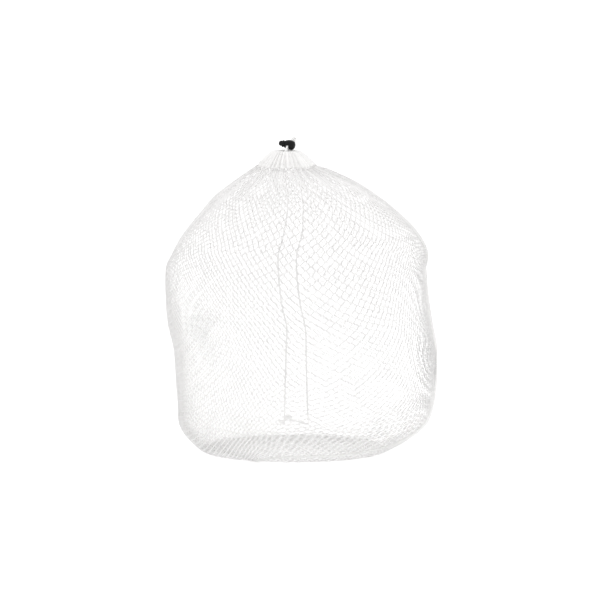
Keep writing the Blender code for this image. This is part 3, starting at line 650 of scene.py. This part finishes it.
def knit_material(name, low, high, rib_scale):
    m, t, p = shader(name)
    coord = node(t, "ShaderNodeTexCoord")
    waves = []
    for axis in ("X", "Z"):
        w = node(t, "ShaderNodeTexWave", wave_type="BANDS", bands_direction=axis, in_Scale=rib_scale, in_Distortion=0.6, in_Detail=1.0)
        t.links.new(coord.outputs["Object"], w.inputs["Vector"])
        waves.append(w.outputs["Fac"])
    h = sum_of(t, "MULTIPLY", waves[0], waves[1])
    # painted shade: the cloth's colour darkens in the grooves between the ribs
    tinted(t, p, low, high, 40.0, 3.0, h, 0.94)
    bumped(t, p, h, 0.00010, 0.6, 1800.0, 0.3)
    p.inputs["Roughness"].default_value = 0.75
    p.inputs["Sheen Weight"].default_value = 0.15
    return m


def cord_material():
    m, t, p = shader("braided_cord")
    h = braid_height(t, 4.0, 0.0046)
    # painted shade: the cord's colour darkens in the grooves between the braid's strands
    tinted(t, p, (0.91, 0.905, 0.90), (0.955, 0.95, 0.945), 60.0, 2.0, h, 0.88)
    bumped(t, p, h, 0.00022, 0.9, 3000.0, 0.2)
    p.inputs["Roughness"].default_value = 0.6
    p.inputs["Sheen Weight"].default_value = 0.12
    return m


def stitch_material():
    m, t, p = shader("sewing_thread")
    tinted(t, p, (0.84, 0.84, 0.83), (0.92, 0.92, 0.91), 90.0)
    u, v = run_coordinates(t)
    ply = sum_of(t, "SINE", sum_of(t, "ADD", sum_of(t, "MULTIPLY", u, 12.566), sum_of(t, "MULTIPLY", v, 6000.0)), None)
    bumped(t, p, sum_of(t, "ADD", sum_of(t, "MULTIPLY", ply, 0.5), 0.5), 0.00005, 0.7)
    p.inputs["Roughness"].default_value = 0.5
    return m


def plastic_material(name, colour, roughness, grain, depth):
    m, t, p = shader(name)
    coord = node(t, "ShaderNodeTexCoord")
    wear = node(t, "ShaderNodeTexNoise", in_Scale=180.0, in_Detail=4.0)
    t.links.new(coord.outputs["Object"], wear.inputs["Vector"])
    ramp = node(t, "ShaderNodeValToRGB")
    ramp.color_ramp.elements[0].position = 0.3
    ramp.color_ramp.elements[1].position = 0.75
    ramp.color_ramp.elements[0].color = (*[c * 0.8 for c in colour], 1)
    ramp.color_ramp.elements[1].color = (*[c * 1.45 for c in colour], 1)
    t.links.new(wear.outputs["Fac"], ramp.inputs[0])
    t.links.new(ramp.outputs[0], p.inputs["Base Color"])
    rough = node(t, "ShaderNodeMapRange", in_1=0.3, in_2=0.7, in_3=roughness - 0.05, in_4=roughness + 0.07)
    t.links.new(wear.outputs["Fac"], rough.inputs[0])
    t.links.new(rough.outputs[0], p.inputs["Roughness"])
    bumped(t, p, None, depth, 0.5, grain, 1.0)
    p.inputs["Specular IOR Level"].default_value = 0.16
    return m


def metal_material():
    m, t, p = shader("spring_wire")
    tinted(t, p, (0.50, 0.50, 0.51), (0.68, 0.68, 0.70), 900.0)
    bumped(t, p, None, 0.00002, 0.4, 5000.0, 1.0)
    p.inputs["Metallic"].default_value = 1.0
    p.inputs["Roughness"].default_value = 0.28
    return m


NET_LOW, NET_HIGH = (0.850, 0.841, 0.838), (0.912, 0.903, 0.900)
net_mat = net_material()
seam_mat = knit_material("overlocked_seam", (0.84, 0.84, 0.83), (0.91, 0.91, 0.90), 260.0)
hem_mat = knit_material("casing_cloth", (0.925, 0.918, 0.912), (0.96, 0.953, 0.948), 420.0)
cord_mat = cord_material()
thread_mat = stitch_material()
body_mat = plastic_material("lock_black", (0.0040, 0.0040, 0.0043), 0.36, 2200.0, 0.00003)
button_mat = plastic_material("button_black", (0.0046, 0.0046, 0.0050), 0.33, 2600.0, 0.00002)
wire_mat = metal_material()

# ---------------------------------------------------------------- cords
def braid_relief(a, run):
    return 1.0 + 0.045 * np.sin(4 * a + run * 2 * np.pi / 0.0046) * np.sin(4 * a - run * 2 * np.pi / 0.0046)


def cord_mesh(name, path, sides=16):
    g = Gather()
    g.add(tube(path, CORD_RADIUS, sides, relief=braid_relief))
    return g.mesh(name)


def finely(points, step):
    p = np.asarray(points, float)
    length = np.linalg.norm(np.diff(p, axis=0), axis=1).sum()
    return through([tuple(v) for v in p], int(length / step) + 2)


for name, pts, places in TAIL_ROUTES:
    route = through([tuple(v) for v in pts], places)
    fine = finely(route, 0.0009)
    obj = link(name + "_braided", cord_mesh(name + "_braided", fine), cord_mat, "bag")
    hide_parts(name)

held_fine = finely(held_points, 0.0008)
held = link("drawcord_braided", cord_mesh("drawcord_braided", held_fine), cord_mat, "bag")
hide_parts("drawcord")


def knot_piece():
    """An overhand knot of the doubled cord, drawn tight, with two short sealed ends."""
    g = Gather()
    c = np.array(KNOT_CENTRE)
    t = np.linspace(0, 2 * np.pi, 90)
    for turn, grow in ((0.0, 1.0), (0.42, 0.93)):
        # a trefoil lying across the cord, squeezed to the knot's size
        x = (np.sin(t + turn) + 1.9 * np.sin(2 * (t + turn))) / 2.9
        y = (np.cos(t + turn) - 1.9 * np.cos(2 * (t + turn))) / 2.9
        z = -np.sin(3 * (t + turn)) * 0.75
        p = np.stack([x * 0.0046 * grow, y * 0.0050 * grow, z * 0.0028], 1) + c
        p[:, 2] = np.maximum(p[:, 2], CORD_RADIUS * 0.86 + 0.0002)
        g.add(tube(p, CORD_RADIUS * 0.86, 12, relief=braid_relief))
    for side in (-1, 1):
        p = through(
            [
                (c[0] + 0.0006 * side, c[1] + 0.0015, c[2]),
                (c[0] + 0.0020 * side, c[1] + 0.0060, c[2] - 0.0010),
                (c[0] + 0.0034 * side, c[1] + 0.0100, 0.0021),
                (c[0] + 0.0052 * side, c[1] + 0.0142, 0.0017),
            ],
            26,
        )
        r = np.full(26, CORD_RADIUS)
        r[-3:] = CORD_RADIUS * np.array([1.02, 0.92, 0.55])
        g.add(tube(p, r, 14, relief=braid_relief))
    return g.mesh("cord_end_knot_tied")


knot = link("cord_end_knot_tied", knot_piece(), cord_mat, "bag")
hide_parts("cord_end_knot")

# ---------------------------------------------------------------- the net
def panel_table(side, ns=241, nt=401):
    s = np.linspace(0, 1, ns)
    k = np.linspace(0, 1, len(SEAM_TABLE))
    place = s if side == "front" else s - BACK_SEAM_SPACING * np.sin(2 * np.pi * s)
    start = np.stack([np.interp(place, k, SEAM_TABLE[:, i]) for i in range(2)], axis=-1)
    first, last = SEAM_TOP_ANGLES
    angle = np.radians(first + (last - first) * s) if side == "front" else np.radians(first - (360 - last + first) * s)
    end = np.stack([np.cos(angle), np.sin(angle)], axis=-1)
    steps = np.linspace(0, 1, 500)
    lines = start[:, None, :] + (end - start)[:, None, :] * steps[None, :, None]
    space = surface(lines[..., 0], lines[..., 1])
    run = np.concatenate([np.zeros((ns, 1)), np.cumsum(np.linalg.norm(np.diff(space, axis=1), axis=2), axis=1)], axis=1)
    t = np.linspace(0, 1, nt)
    out = np.empty((ns, nt, 3))
    for i in range(ns):
        for c in range(3):
            out[i, :, c] = np.interp(t * run[i, -1], run[i], space[i, :, c])
    ds, dt = np.gradient(out, axis=0), np.gradient(out, axis=1)
    n = np.cross(dt, ds) if side == "front" else np.cross(ds, dt)
    for _ in range(4):
        n[1:-1] = (n[:-2] + 2 * n[1:-1] + n[2:]) / 4
    n /= np.maximum(np.linalg.norm(n, axis=-1, keepdims=True), 1e-12)
    return out, n, run[:, -1]


def look_up(table, s, t):
    ns, nt = table.shape[:2]
    a, b = np.clip(s, 0, 1) * (ns - 1), np.clip(t, 0, 1) * (nt - 1)
    i, j = np.minimum(a.astype(int), ns - 2), np.minimum(b.astype(int), nt - 2)
    fa, fb = (a - i)[..., None], (b - j)[..., None]
    return table[i, j] * (1 - fa) * (1 - fb) + table[i + 1, j] * fa * (1 - fb) + table[i, j + 1] * (1 - fa) * fb + table[i + 1, j + 1] * fa * fb


PLEATS = 34


def pleat(theta):
    """Gathers round the mouth, of uneven width; the hem and the net under it share them."""
    w = theta + 0.050 * np.sin(3 * theta + 1.0) + 0.022 * np.sin(7 * theta + 2.1)
    return np.cos(PLEATS * w) * (1 + 0.25 * np.sin(5 * theta + 0.7))


def ridge(x, z, line, width):
    """1 on a broken line in the front view, falling off over width (all in mm)."""
    best = np.full(x.shape, 1e9)
    for (ax, az), (bx, bz) in zip(line, line[1:]):
        dx, dz = bx - ax, bz - az
        k = np.clip(((x - ax) * dx + (z - az) * dz) / (dx * dx + dz * dz), 0, 1)
        best = np.minimum(best, (x - ax - k * dx) ** 2 + (z - az - k * dz) ** 2)
    return np.exp(-best / width**2)


def slack(points, s, t, lengths):
    """How far the net stands out of the smooth bag: gathers, loose folds and the lumps of what fills it."""
    x, y, z = points[..., 0], points[..., 1], points[..., 2]
    theta = np.arctan2(y - HEM_CENTRE[1], x - HEM_CENTRE[0])
    down = (1 - t) * lengths
    out = 0.0015 * smoothstep(1 - down / 0.085) * pleat(theta)
    out += 0.0016 * smoothstep(1 - down / 0.20) * smoothstep(down / 0.03) * np.cos(13 * theta + 2.0 * np.sin(2 * theta) + 0.6)
    body = smoothstep(z / 0.05) * smoothstep((0.40 - z) / 0.08)
    out += body * 0.0011 * np.sin(31 * x + 17 * z + 1.3) * np.sin(23 * z - 14 * y + 0.4)
    out += body * 0.0006 * np.sin(74 * z + 41 * x + 2.0) * np.sin(57 * x - 33 * y)
    front = (y < 0) * 1.0
    xm, zm = x * 1000, z * 1000
    out += front * 0.0018 * ridge(xm, zm, ((-140, 230), (-95, 222), (-40, 228), (52, 226)), 7.0)
    out -= front * 0.0012 * ridge(xm, zm, ((-140, 216), (-95, 209), (-40, 215), (52, 213)), 8.0)
    out += front * 0.0016 * ridge(xm, zm, ((4, 104), (42, 66), (100, 74), (166, 96)), 8.0)
    out -= front * 0.0011 * ridge(xm, zm, ((0, 88), (42, 52), (104, 58), (168, 80)), 8.0)
    edge = smoothstep(np.minimum(s, 1 - s) / 0.05)
    return out * (0.25 + 0.75 * edge)


THREAD_LENGTH = 0.0157  # twice the side of a cell: it keeps its length where the net narrows
THREAD_HALF_WIDTH = 0.00112
THREAD_HALF_THICKNESS = 0.00044
SHELL_DEPTH = 0.0005
FLOOR_LIFT = THREAD_HALF_THICKNESS + 0.0001


def net(name, side, columns, rows):
    table, normals, lengths = panel_table(side)
    tt = np.linspace(0, 1, 81)
    wide = np.array([np.linalg.norm(np.diff(table[:, int(round(k * (table.shape[1] - 1)))], axis=0), axis=1).sum() for k in tt]) / columns
    tall = np.sqrt(np.maximum(THREAD_LENGTH**2 - wide**2, 0.0049**2))
    count = np.concatenate(([0.0], np.cumsum((1 / tall[1:] + 1 / tall[:-1]) / 2)))
    count *= rows / count[-1]
    js = np.arange(2.0 * rows + 1)  # the joins, where neighbouring threads meet
    sideways = js.astype(int) % 2
    t = np.interp(js / 2, count, tt)
    w_local = np.interp(t, tt, wide)
    half_w = np.minimum(THREAD_HALF_WIDTH, 0.26 * w_local)
    g = Gather()
    threads = 2 * columns
    for k in range(threads):
        flip = (sideways + k) % 2
        touch = np.minimum(0.62 * half_w / (w_local / 2), 0.30)  # threads lie side by side where they join
        place = k + touch + flip * (1 - 2 * touch)
        s = place / threads
        p = look_up(table, s, t)
        n = look_up(normals, s, t)
        n /= np.maximum(np.linalg.norm(n, axis=-1, keepdims=True), 1e-12)
        length = np.interp(s, np.linspace(0, 1, len(lengths)), lengths)
        p = p + n * (slack(p, s, t, length) - SHELL_DEPTH)[:, None]
        p[:, 2] = np.maximum(p[:, 2], FLOOR_LIFT)
        g.add(tube(p, THREAD_HALF_THICKNESS, 6, normals=n, widths=half_w))
    mesh = g.mesh(name)
    obj = link(name, mesh, net_mat, "bag")
    return obj


front_net = net("net_front_threads", "front", 48, 49)
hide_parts("net_front_panel")
back_net = net("net_back_threads", "back", 53, 62)
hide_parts("net_back_panel")

# ---------------------------------------------------------------- seams
def side_seam_disk(s, samples, start=0.0030, finish=0.0006):
    length = column_length("front", s)
    t = np.linspace(start / length, 1 - finish / length, samples)
    return panel_disk("front", np.full(len(t), s), t)


def seam_frame(disk, step=0.0012):
    p = surface(disk[:, 0], disk[:, 1])
    n = outward(disk[:, 0], disk[:, 1])
    run = np.concatenate(([0.0], np.cumsum(np.linalg.norm(np.diff(p, axis=0), axis=1))))
    want = np.linspace(0, run[-1], int(run[-1] / step) + 2)
    p = np.stack([np.interp(want, run, p[:, k]) for k in range(3)], 1)
    n = np.stack([np.interp(want, run, n[:, k]) for k in range(3)], 1)
    for _ in range(6):
        n[1:-1] = (n[:-2] + 2 * n[1:-1] + n[2:]) / 4
    n /= np.linalg.norm(n, axis=1, keepdims=True)
    lowest = SEAM_HALF_THICKNESS + FLOOR_CLEAR
    p[:, 2] = np.where(p[:, 2] < lowest + 0.004, lowest + 0.5 * (p[:, 2] - lowest + np.sqrt((p[:, 2] - lowest) ** 2 + 0.001**2)), p[:, 2])
    return p, n, want


def seam_piece(name, disk, node_name, pitch=0.0030):
    """Rolled net edges under a looped overlock stitch."""
    p, n, run = seam_frame(disk)
    wander = 0.00022 * np.sin(run * 2 * np.pi / 0.017 + 0.6) + 0.00012 * np.sin(run * 2 * np.pi / 0.0062)
    swell = 1 + 0.07 * np.sin(run * 2 * np.pi / pitch) + 0.04 * np.sin(run * 2 * np.pi / 0.013 + 1.0)
    along = np.gradient(p, axis=0)
    along /= np.linalg.norm(along, axis=1, keepdims=True)
    across = np.cross(along, n)
    across /= np.linalg.norm(across, axis=1, keepdims=True)
    p = p + across * wander[:, None]
    g = Gather()
    g.add(tube(p, SEAM_HALF_THICKNESS * 0.82 * swell, 12, normals=n, widths=SEAM_HALF_WIDTH * 0.92 * swell))
    band = link(name, g.mesh(name), seam_mat, "bag")
    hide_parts(node_name)
    # the stitch: a thread that winds over the roll, with a needle line down its inner edge
    turns = run[-1] / pitch
    a = np.linspace(0, 2 * np.pi * turns, int(turns * 10))
    place = a / (2 * np.pi) * pitch
    q = np.stack([np.interp(place, run, p[:, k]) for k in range(3)], 1)
    qn = np.stack([np.interp(place, run, n[:, k]) for k in range(3)], 1)
    qa = np.stack([np.interp(place, run, across[:, k]) for k in range(3)], 1)
    q = q + qa * (np.cos(a) * SEAM_HALF_WIDTH * 1.0)[:, None] + qn * (np.sin(a) * SEAM_HALF_THICKNESS * 0.98)[:, None]
    q[:, 2] = np.maximum(q[:, 2], 0.0005)
    g = Gather()
    g.add(tube(q, 0.00026, 5))
    for shift in (-0.55, 0.55):
        line = p + across * (shift * SEAM_HALF_WIDTH) + n * (SEAM_HALF_THICKNESS * (0.92 + 0.10 * np.sin(run * 2 * np.pi / pitch)))[:, None]
        g.add(tube(line, 0.00024, 5))
    stitch = link(name + "_stitching", g.mesh(name + "_stitching"), thread_mat, "bag")
    return band, stitch


seam_right = seam_piece("side_seam_right_roll", side_seam_disk(0.0, 120), "side_seam_right")
seam_left = seam_piece("side_seam_left_roll", side_seam_disk(1.0, 120), "side_seam_left")
seam_bottom = seam_piece("bottom_seam_roll", bottom_seam_disk(300)[0], "bottom_seam")

# ---------------------------------------------------------------- the gathered hem
def hem_point(theta, q):
    """A point of the gathered hem: q runs from the skirt's edge up over the casing, down the throat and back under."""
    rows = np.array(
        [
            (0.0380, 0.4186, 3.0), (0.0392, 0.4195, 3.4), (0.0380, 0.4218, 3.4), (0.0354, 0.4246, 3.2), (0.0322, 0.4278, 3.0), (0.0286, 0.4312, 2.8),
            (0.0252, 0.4342, 2.6), (0.0222, 0.4370, 2.4), (0.0194, 0.4392, 2.1), (0.0166, 0.4402, 1.6), (0.0140, 0.4405, 1.1),
            (0.0118, 0.4406, 0.6), (0.0088, 0.4402, 0.5), (0.0070, 0.4390, 0.4), (0.0062, 0.4362, 0.4), (0.0061, 0.4320, 0.4),
            (0.0062, 0.4270, 0.4), (0.0066, 0.4222, 0.4), (0.0080, 0.4192, 0.3), (0.0130, 0.4187, 0.2), (0.0220, 0.4186, 0.3), (0.0320, 0.4186, 1.0),
        ]
    )
    k = np.arange(len(rows) + 1)
    closed = np.vstack([rows, rows[:1]])
    r = np.interp(q, k, closed[:, 0])
    z = np.interp(q, k, closed[:, 1])
    amp = np.interp(q, k, closed[:, 2]) * 0.001
    f = pleat(theta)
    f = np.sign(f) * np.abs(f) ** 0.8
    second = 0.25 * np.cos(2 * PLEATS * theta + 1.7 + 2.0 * np.sin(4 * theta))
    uneven = 1.0 + 0.28 * np.sin(3 * theta + 0.7) + 0.22 * np.sin(7 * theta + 2.1) + 0.12 * np.sin(11 * theta)
    r = r + amp * uneven * (f * 1.05 + second) - 0.0008
    z = z + np.where((q > 5) & (q < 12), 0.0004 * f, 0.0)
    # the row of stitches round the casing pulls the cloth in a little
    r = r - 0.0010 * np.exp(-(((z - 0.4255) / 0.0011) ** 2)) * (q < 9)
    return np.stack([HEM_CENTRE[0] + r * np.cos(theta), HEM_CENTRE[1] + r * np.sin(theta), np.minimum(z, 0.4410)], -1)


def hem_piece():
    around, rings = PLEATS * 12, 66
    th, q = np.meshgrid(np.linspace(0, 2 * np.pi, around, endpoint=False), np.linspace(0, 22, rings, endpoint=False), indexing="ij")
    p = hem_point(th, q)
    idx = np.arange(around * rings).reshape(around, rings)
    a, b = idx, np.roll(idx, -1, axis=0)
    faces = np.stack([a, b, np.roll(b, -1, axis=1), np.roll(a, -1, axis=1)], -1).reshape(-1, 4)
    return mesh_from("mouth_hem_gathered", p.reshape(-1, 3), faces.tolist())


hem = link("mouth_hem_gathered", hem_piece(), hem_mat, "bag")
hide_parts("mouth_hem")


def hem_stitches():
    """Two rounds of lock stitch: under the casing and at the skirt's edge."""
    g = Gather()
    for q0, count in ((2.85, 84), (0.75, 96)):
        for k in range(count):
            t0 = 2 * np.pi * k / count
            th = t0 + np.linspace(0.06, 0.82, 7) * 2 * np.pi / count
            p = hem_point(th, np.full(7, q0))
            centre = np.array([HEM_CENTRE[0], HEM_CENTRE[1], p[:, 2].mean() - 0.01])
            out = p - centre
            out /= np.linalg.norm(out, axis=1, keepdims=True)
            lift = np.sin(np.linspace(0, np.pi, 7)) * 0.00042 - 0.00006
            g.add(tube(p + out * lift[:, None], 0.00022, 5))
    return g.mesh("mouth_hem_stitching")


hem_stitch = link("mouth_hem_stitching", hem_stitches(), thread_mat, "bag")

# ---------------------------------------------------------------- the cord lock
def turned_mesh(name, profile, segments, relief=None):
    """A profile of (radius, height), from axis to axis, turned about Z."""
    pts, faces = [], []
    prof = [tuple(p) for p in profile]
    a = np.linspace(0, 2 * np.pi, segments, endpoint=False)
    index = []
    for r, z in prof:
        if r < 1e-7:
            index.append([len(pts)])
            pts.append((0.0, 0.0, z))
        else:
            k = np.ones(segments) if relief is None else relief(a, r, z)
            index.append(list(range(len(pts), len(pts) + segments)))
            pts += [(r * kk * math.cos(x), r * kk * math.sin(x), z) for x, kk in zip(a, k)]
    for one, two in zip(index, index[1:]):
        for j in range(segments):
            j2 = (j + 1) % segments
            if len(one) == 1:
                faces.append((one[0], two[j], two[j2]))
            elif len(two) == 1:
                faces.append((one[j], two[0], one[j2]))
            else:
                faces.append((one[j], two[j], two[j2], one[j2]))
    mesh = mesh_from(name, pts, faces)
    bm = bmesh.new()
    bm.from_mesh(mesh)
    bmesh.ops.recalc_face_normals(bm, faces=bm.faces)
    bm.to_mesh(mesh)
    bm.free()
    return mesh


def hole_cutter(name, place, width, length, round_by):
    bm = bmesh.new()
    bmesh.ops.create_cube(bm, size=1.0)
    bmesh.ops.scale(bm, vec=(0.030, width, length), verts=bm.verts)
    mesh = bpy.data.meshes.new(name)
    bm.to_mesh(mesh)
    bm.free()
    obj = bpy.data.objects.new(name, mesh)
    bpy.context.scene.collection.objects.link(obj)
    obj.matrix_world = LOCK_FRAME @ Matrix.Translation((0, 0, place))
    b = obj.modifiers.new("round", "BEVEL")
    b.width, b.segments = round_by, 6
    return obj


def applied(obj):
    """The piece as its modifiers leave it, as a plain mesh."""
    bpy.context.view_layer.update()
    dg = bpy.context.evaluated_depsgraph_get()
    mesh = bpy.data.meshes.new_from_object(obj.evaluated_get(dg))
    obj.modifiers.clear()
    obj.data = mesh
    return obj


ball = []
for k in range(0, 61):
    a = math.pi * k / 60
    z = BALL_HALF_LENGTH * math.cos(a)
    if z > MOUTH_AT - 0.0004:
        continue
    r = BALL_RADIUS * max(0.0, 1 - abs(z / BALL_HALF_LENGTH) ** BALL_POWER) ** (1 / BALL_POWER)
    if abs(z + 0.00005) < 0.00032:
        r -= 0.00010  # the mould's parting line
    if abs(z - 0.0052) < 0.0004:
        r += 0.00012  # a raised ring by the mouth
    ball.append((r, z))
ball[-1] = (0.0, -BALL_HALF_LENGTH)
body_profile = (
    [(0.0, POCKET_FLOOR), (POCKET_RADIUS, POCKET_FLOOR), (POCKET_RADIUS, BORE_FLOOR), (BORE_RADIUS, BORE_FLOOR), (BORE_RADIUS, MOUTH_AT - 0.0006)]
    + [(BORE_RADIUS + 0.0002, MOUTH_AT - 0.0002), (BORE_RADIUS + 0.0005, MOUTH_AT), (0.0057, MOUTH_AT), (0.00595, MOUTH_AT - 0.0002)]
    + ball
)
lock_body = link("cord_lock_body_moulded", turned_mesh("cord_lock_body_moulded", body_profile, 96), None, None)
lock_body.matrix_world = LOCK_FRAME
SLOT_OUT = STRAND_AT + CORD_RADIUS + 0.0003
tool = hole_cutter("hole_tool_a", SLOT_OUT - BODY_SLOT_LENGTH / 2, SLOT_WIDTH, BODY_SLOT_LENGTH, 0.0013)
c = lock_body.modifiers.new("hole", "BOOLEAN")
c.operation, c.solver, c.object = "DIFFERENCE", "EXACT", tool
edge = lock_body.modifiers.new("edge", "BEVEL")
edge.width, edge.segments, edge.limit_method, edge.angle_limit = 0.00035, 3, "ANGLE", math.radians(38)
applied(lock_body)
bpy.data.objects.remove(tool, do_unlink=True)
lock_body.data.materials.clear()
lock_body.data.materials.append(body_mat)
lock_body.data.shade_smooth()
lock_body.data.set_sharp_from_angle(angle=math.radians(40))
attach(lock_body, "lock")
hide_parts("cord_lock_body")

button_profile = [
    (0.0, 0.01720), (0.0008, 0.01718), (0.0016, 0.01705), (0.0023, 0.01678), (0.0029, 0.01635), (0.0034, 0.01575), (0.00372, 0.01500),
    (0.00388, 0.01420), (0.00395, 0.01330), (0.00392, 0.01262), (0.00395, 0.01215), (0.00415, 0.01180), (0.00455, 0.01150), (0.00500, 0.01128), (0.00518, 0.01110),
    (0.00522, 0.01085), (0.00522, 0.01055), (0.00505, 0.01030), (0.00470, 0.01012), (PLUNGER_RADIUS, 0.0098), (PLUNGER_RADIUS, 0.0060), (PLUNGER_RADIUS, 0.0020),
    (PLUNGER_RADIUS, PLUNGER_END + 0.0004), (PLUNGER_RADIUS - 0.0004, PLUNGER_END), (0.0, PLUNGER_END),
]


def grip(a, r, z):
    """Small ribs round the knob's side."""
    if 0.0125 < z < 0.0152 and r > 0.0030:
        return 1 + 0.022 * np.cos(18 * a)
    return np.ones_like(a)


plunger = link("cord_lock_plunger_moulded", turned_mesh("cord_lock_plunger_moulded", button_profile, 108, grip), None, None)
plunger.matrix_world = LOCK_FRAME
slot_in = STRAND_AT - CORD_RADIUS - 0.0003
tool = hole_cutter("hole_tool_b", slot_in + SLOT_LENGTH / 2, SLOT_WIDTH, SLOT_LENGTH, 0.0020)
c = plunger.modifiers.new("hole", "BOOLEAN")
c.operation, c.solver, c.object = "DIFFERENCE", "EXACT", tool
applied(plunger)
bpy.data.objects.remove(tool, do_unlink=True)
plunger.data.materials.clear()
plunger.data.materials.append(button_mat)
plunger.data.shade_smooth()
plunger.data.set_sharp_from_angle(angle=math.radians(40))
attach(plunger, "plunger")
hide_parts("cord_lock_plunger")



def spring_coil():
    """The coil, from the pocket's floor to the plunger's end."""
    low, high = POCKET_FLOOR + SPRING_WIRE + 0.0002, PLUNGER_END - SPRING_WIRE - 0.0002
    a = np.linspace(0, 2 * np.pi * SPRING_TURNS, int(SPRING_TURNS * 40) + 1)
    z = low + (high - low) * a / a[-1]
    local = np.stack([SPRING_RADIUS * np.cos(a), SPRING_RADIUS * np.sin(a), z, np.ones_like(a)], 1)
    g = Gather()
    g.add(tube((local @ np.array(LOCK_FRAME).T)[:, :3], SPRING_WIRE, 10))
    return g.mesh("cord_lock_spring_coil")


spring = link("cord_lock_spring_coil", spring_coil(), wire_mat, "lock")
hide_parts("cord_lock_spring")
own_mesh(spring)

# ---------------------------------------------------------------- floor and light
floor_mesh = mesh_from("floor", [(-9, -9, 0), (9, -9, 0), (9, 14, 0), (-9, 14, 0)], [(0, 1, 2, 3)], smooth=False)
floor = bpy.data.objects.new("floor", floor_mesh)
bpy.context.scene.collection.objects.link(floor)
m, t, p = shader("floor_white")
p.inputs["Base Color"].default_value = (0.90, 0.90, 0.90, 1)
p.inputs["Roughness"].default_value = 0.9
p.inputs["Specular IOR Level"].default_value = 0.1
p.inputs["Emission Color"].default_value = (1, 1, 1, 1)
p.inputs["Emission Strength"].default_value = 0.30
floor_mesh.materials.append(m)

world = bpy.data.worlds.new("studio")
world.use_nodes = True
world.node_tree.nodes["Background"].inputs["Color"].default_value = (1.0, 1.0, 1.0, 1)
world.node_tree.nodes["Background"].inputs["Strength"].default_value = 1.035
bpy.context.scene.world = world
bpy.context.scene.view_settings.view_transform = "Standard"
bpy.context.scene.view_settings.look = "None"


def area_light(name, place, target, size, power, colour=(1, 1, 1)):
    d = bpy.data.lights.new(name, "AREA")
    d.shape, d.size, d.energy, d.color = "SQUARE", size, power, colour
    o = bpy.data.objects.new(name, d)
    bpy.context.scene.collection.objects.link(o)
    o.location = place
    o.rotation_euler = (Vector(target) - Vector(place)).to_track_quat("-Z", "Y").to_euler()
    return o


area_light("key", (1.3, -1.9, 2.3), (0, 0, 0.2), 1.4, 5.0)
area_light("top", (-0.2, 0.3, 2.6), (0, 0, 0.2), 1.8, 3.0)
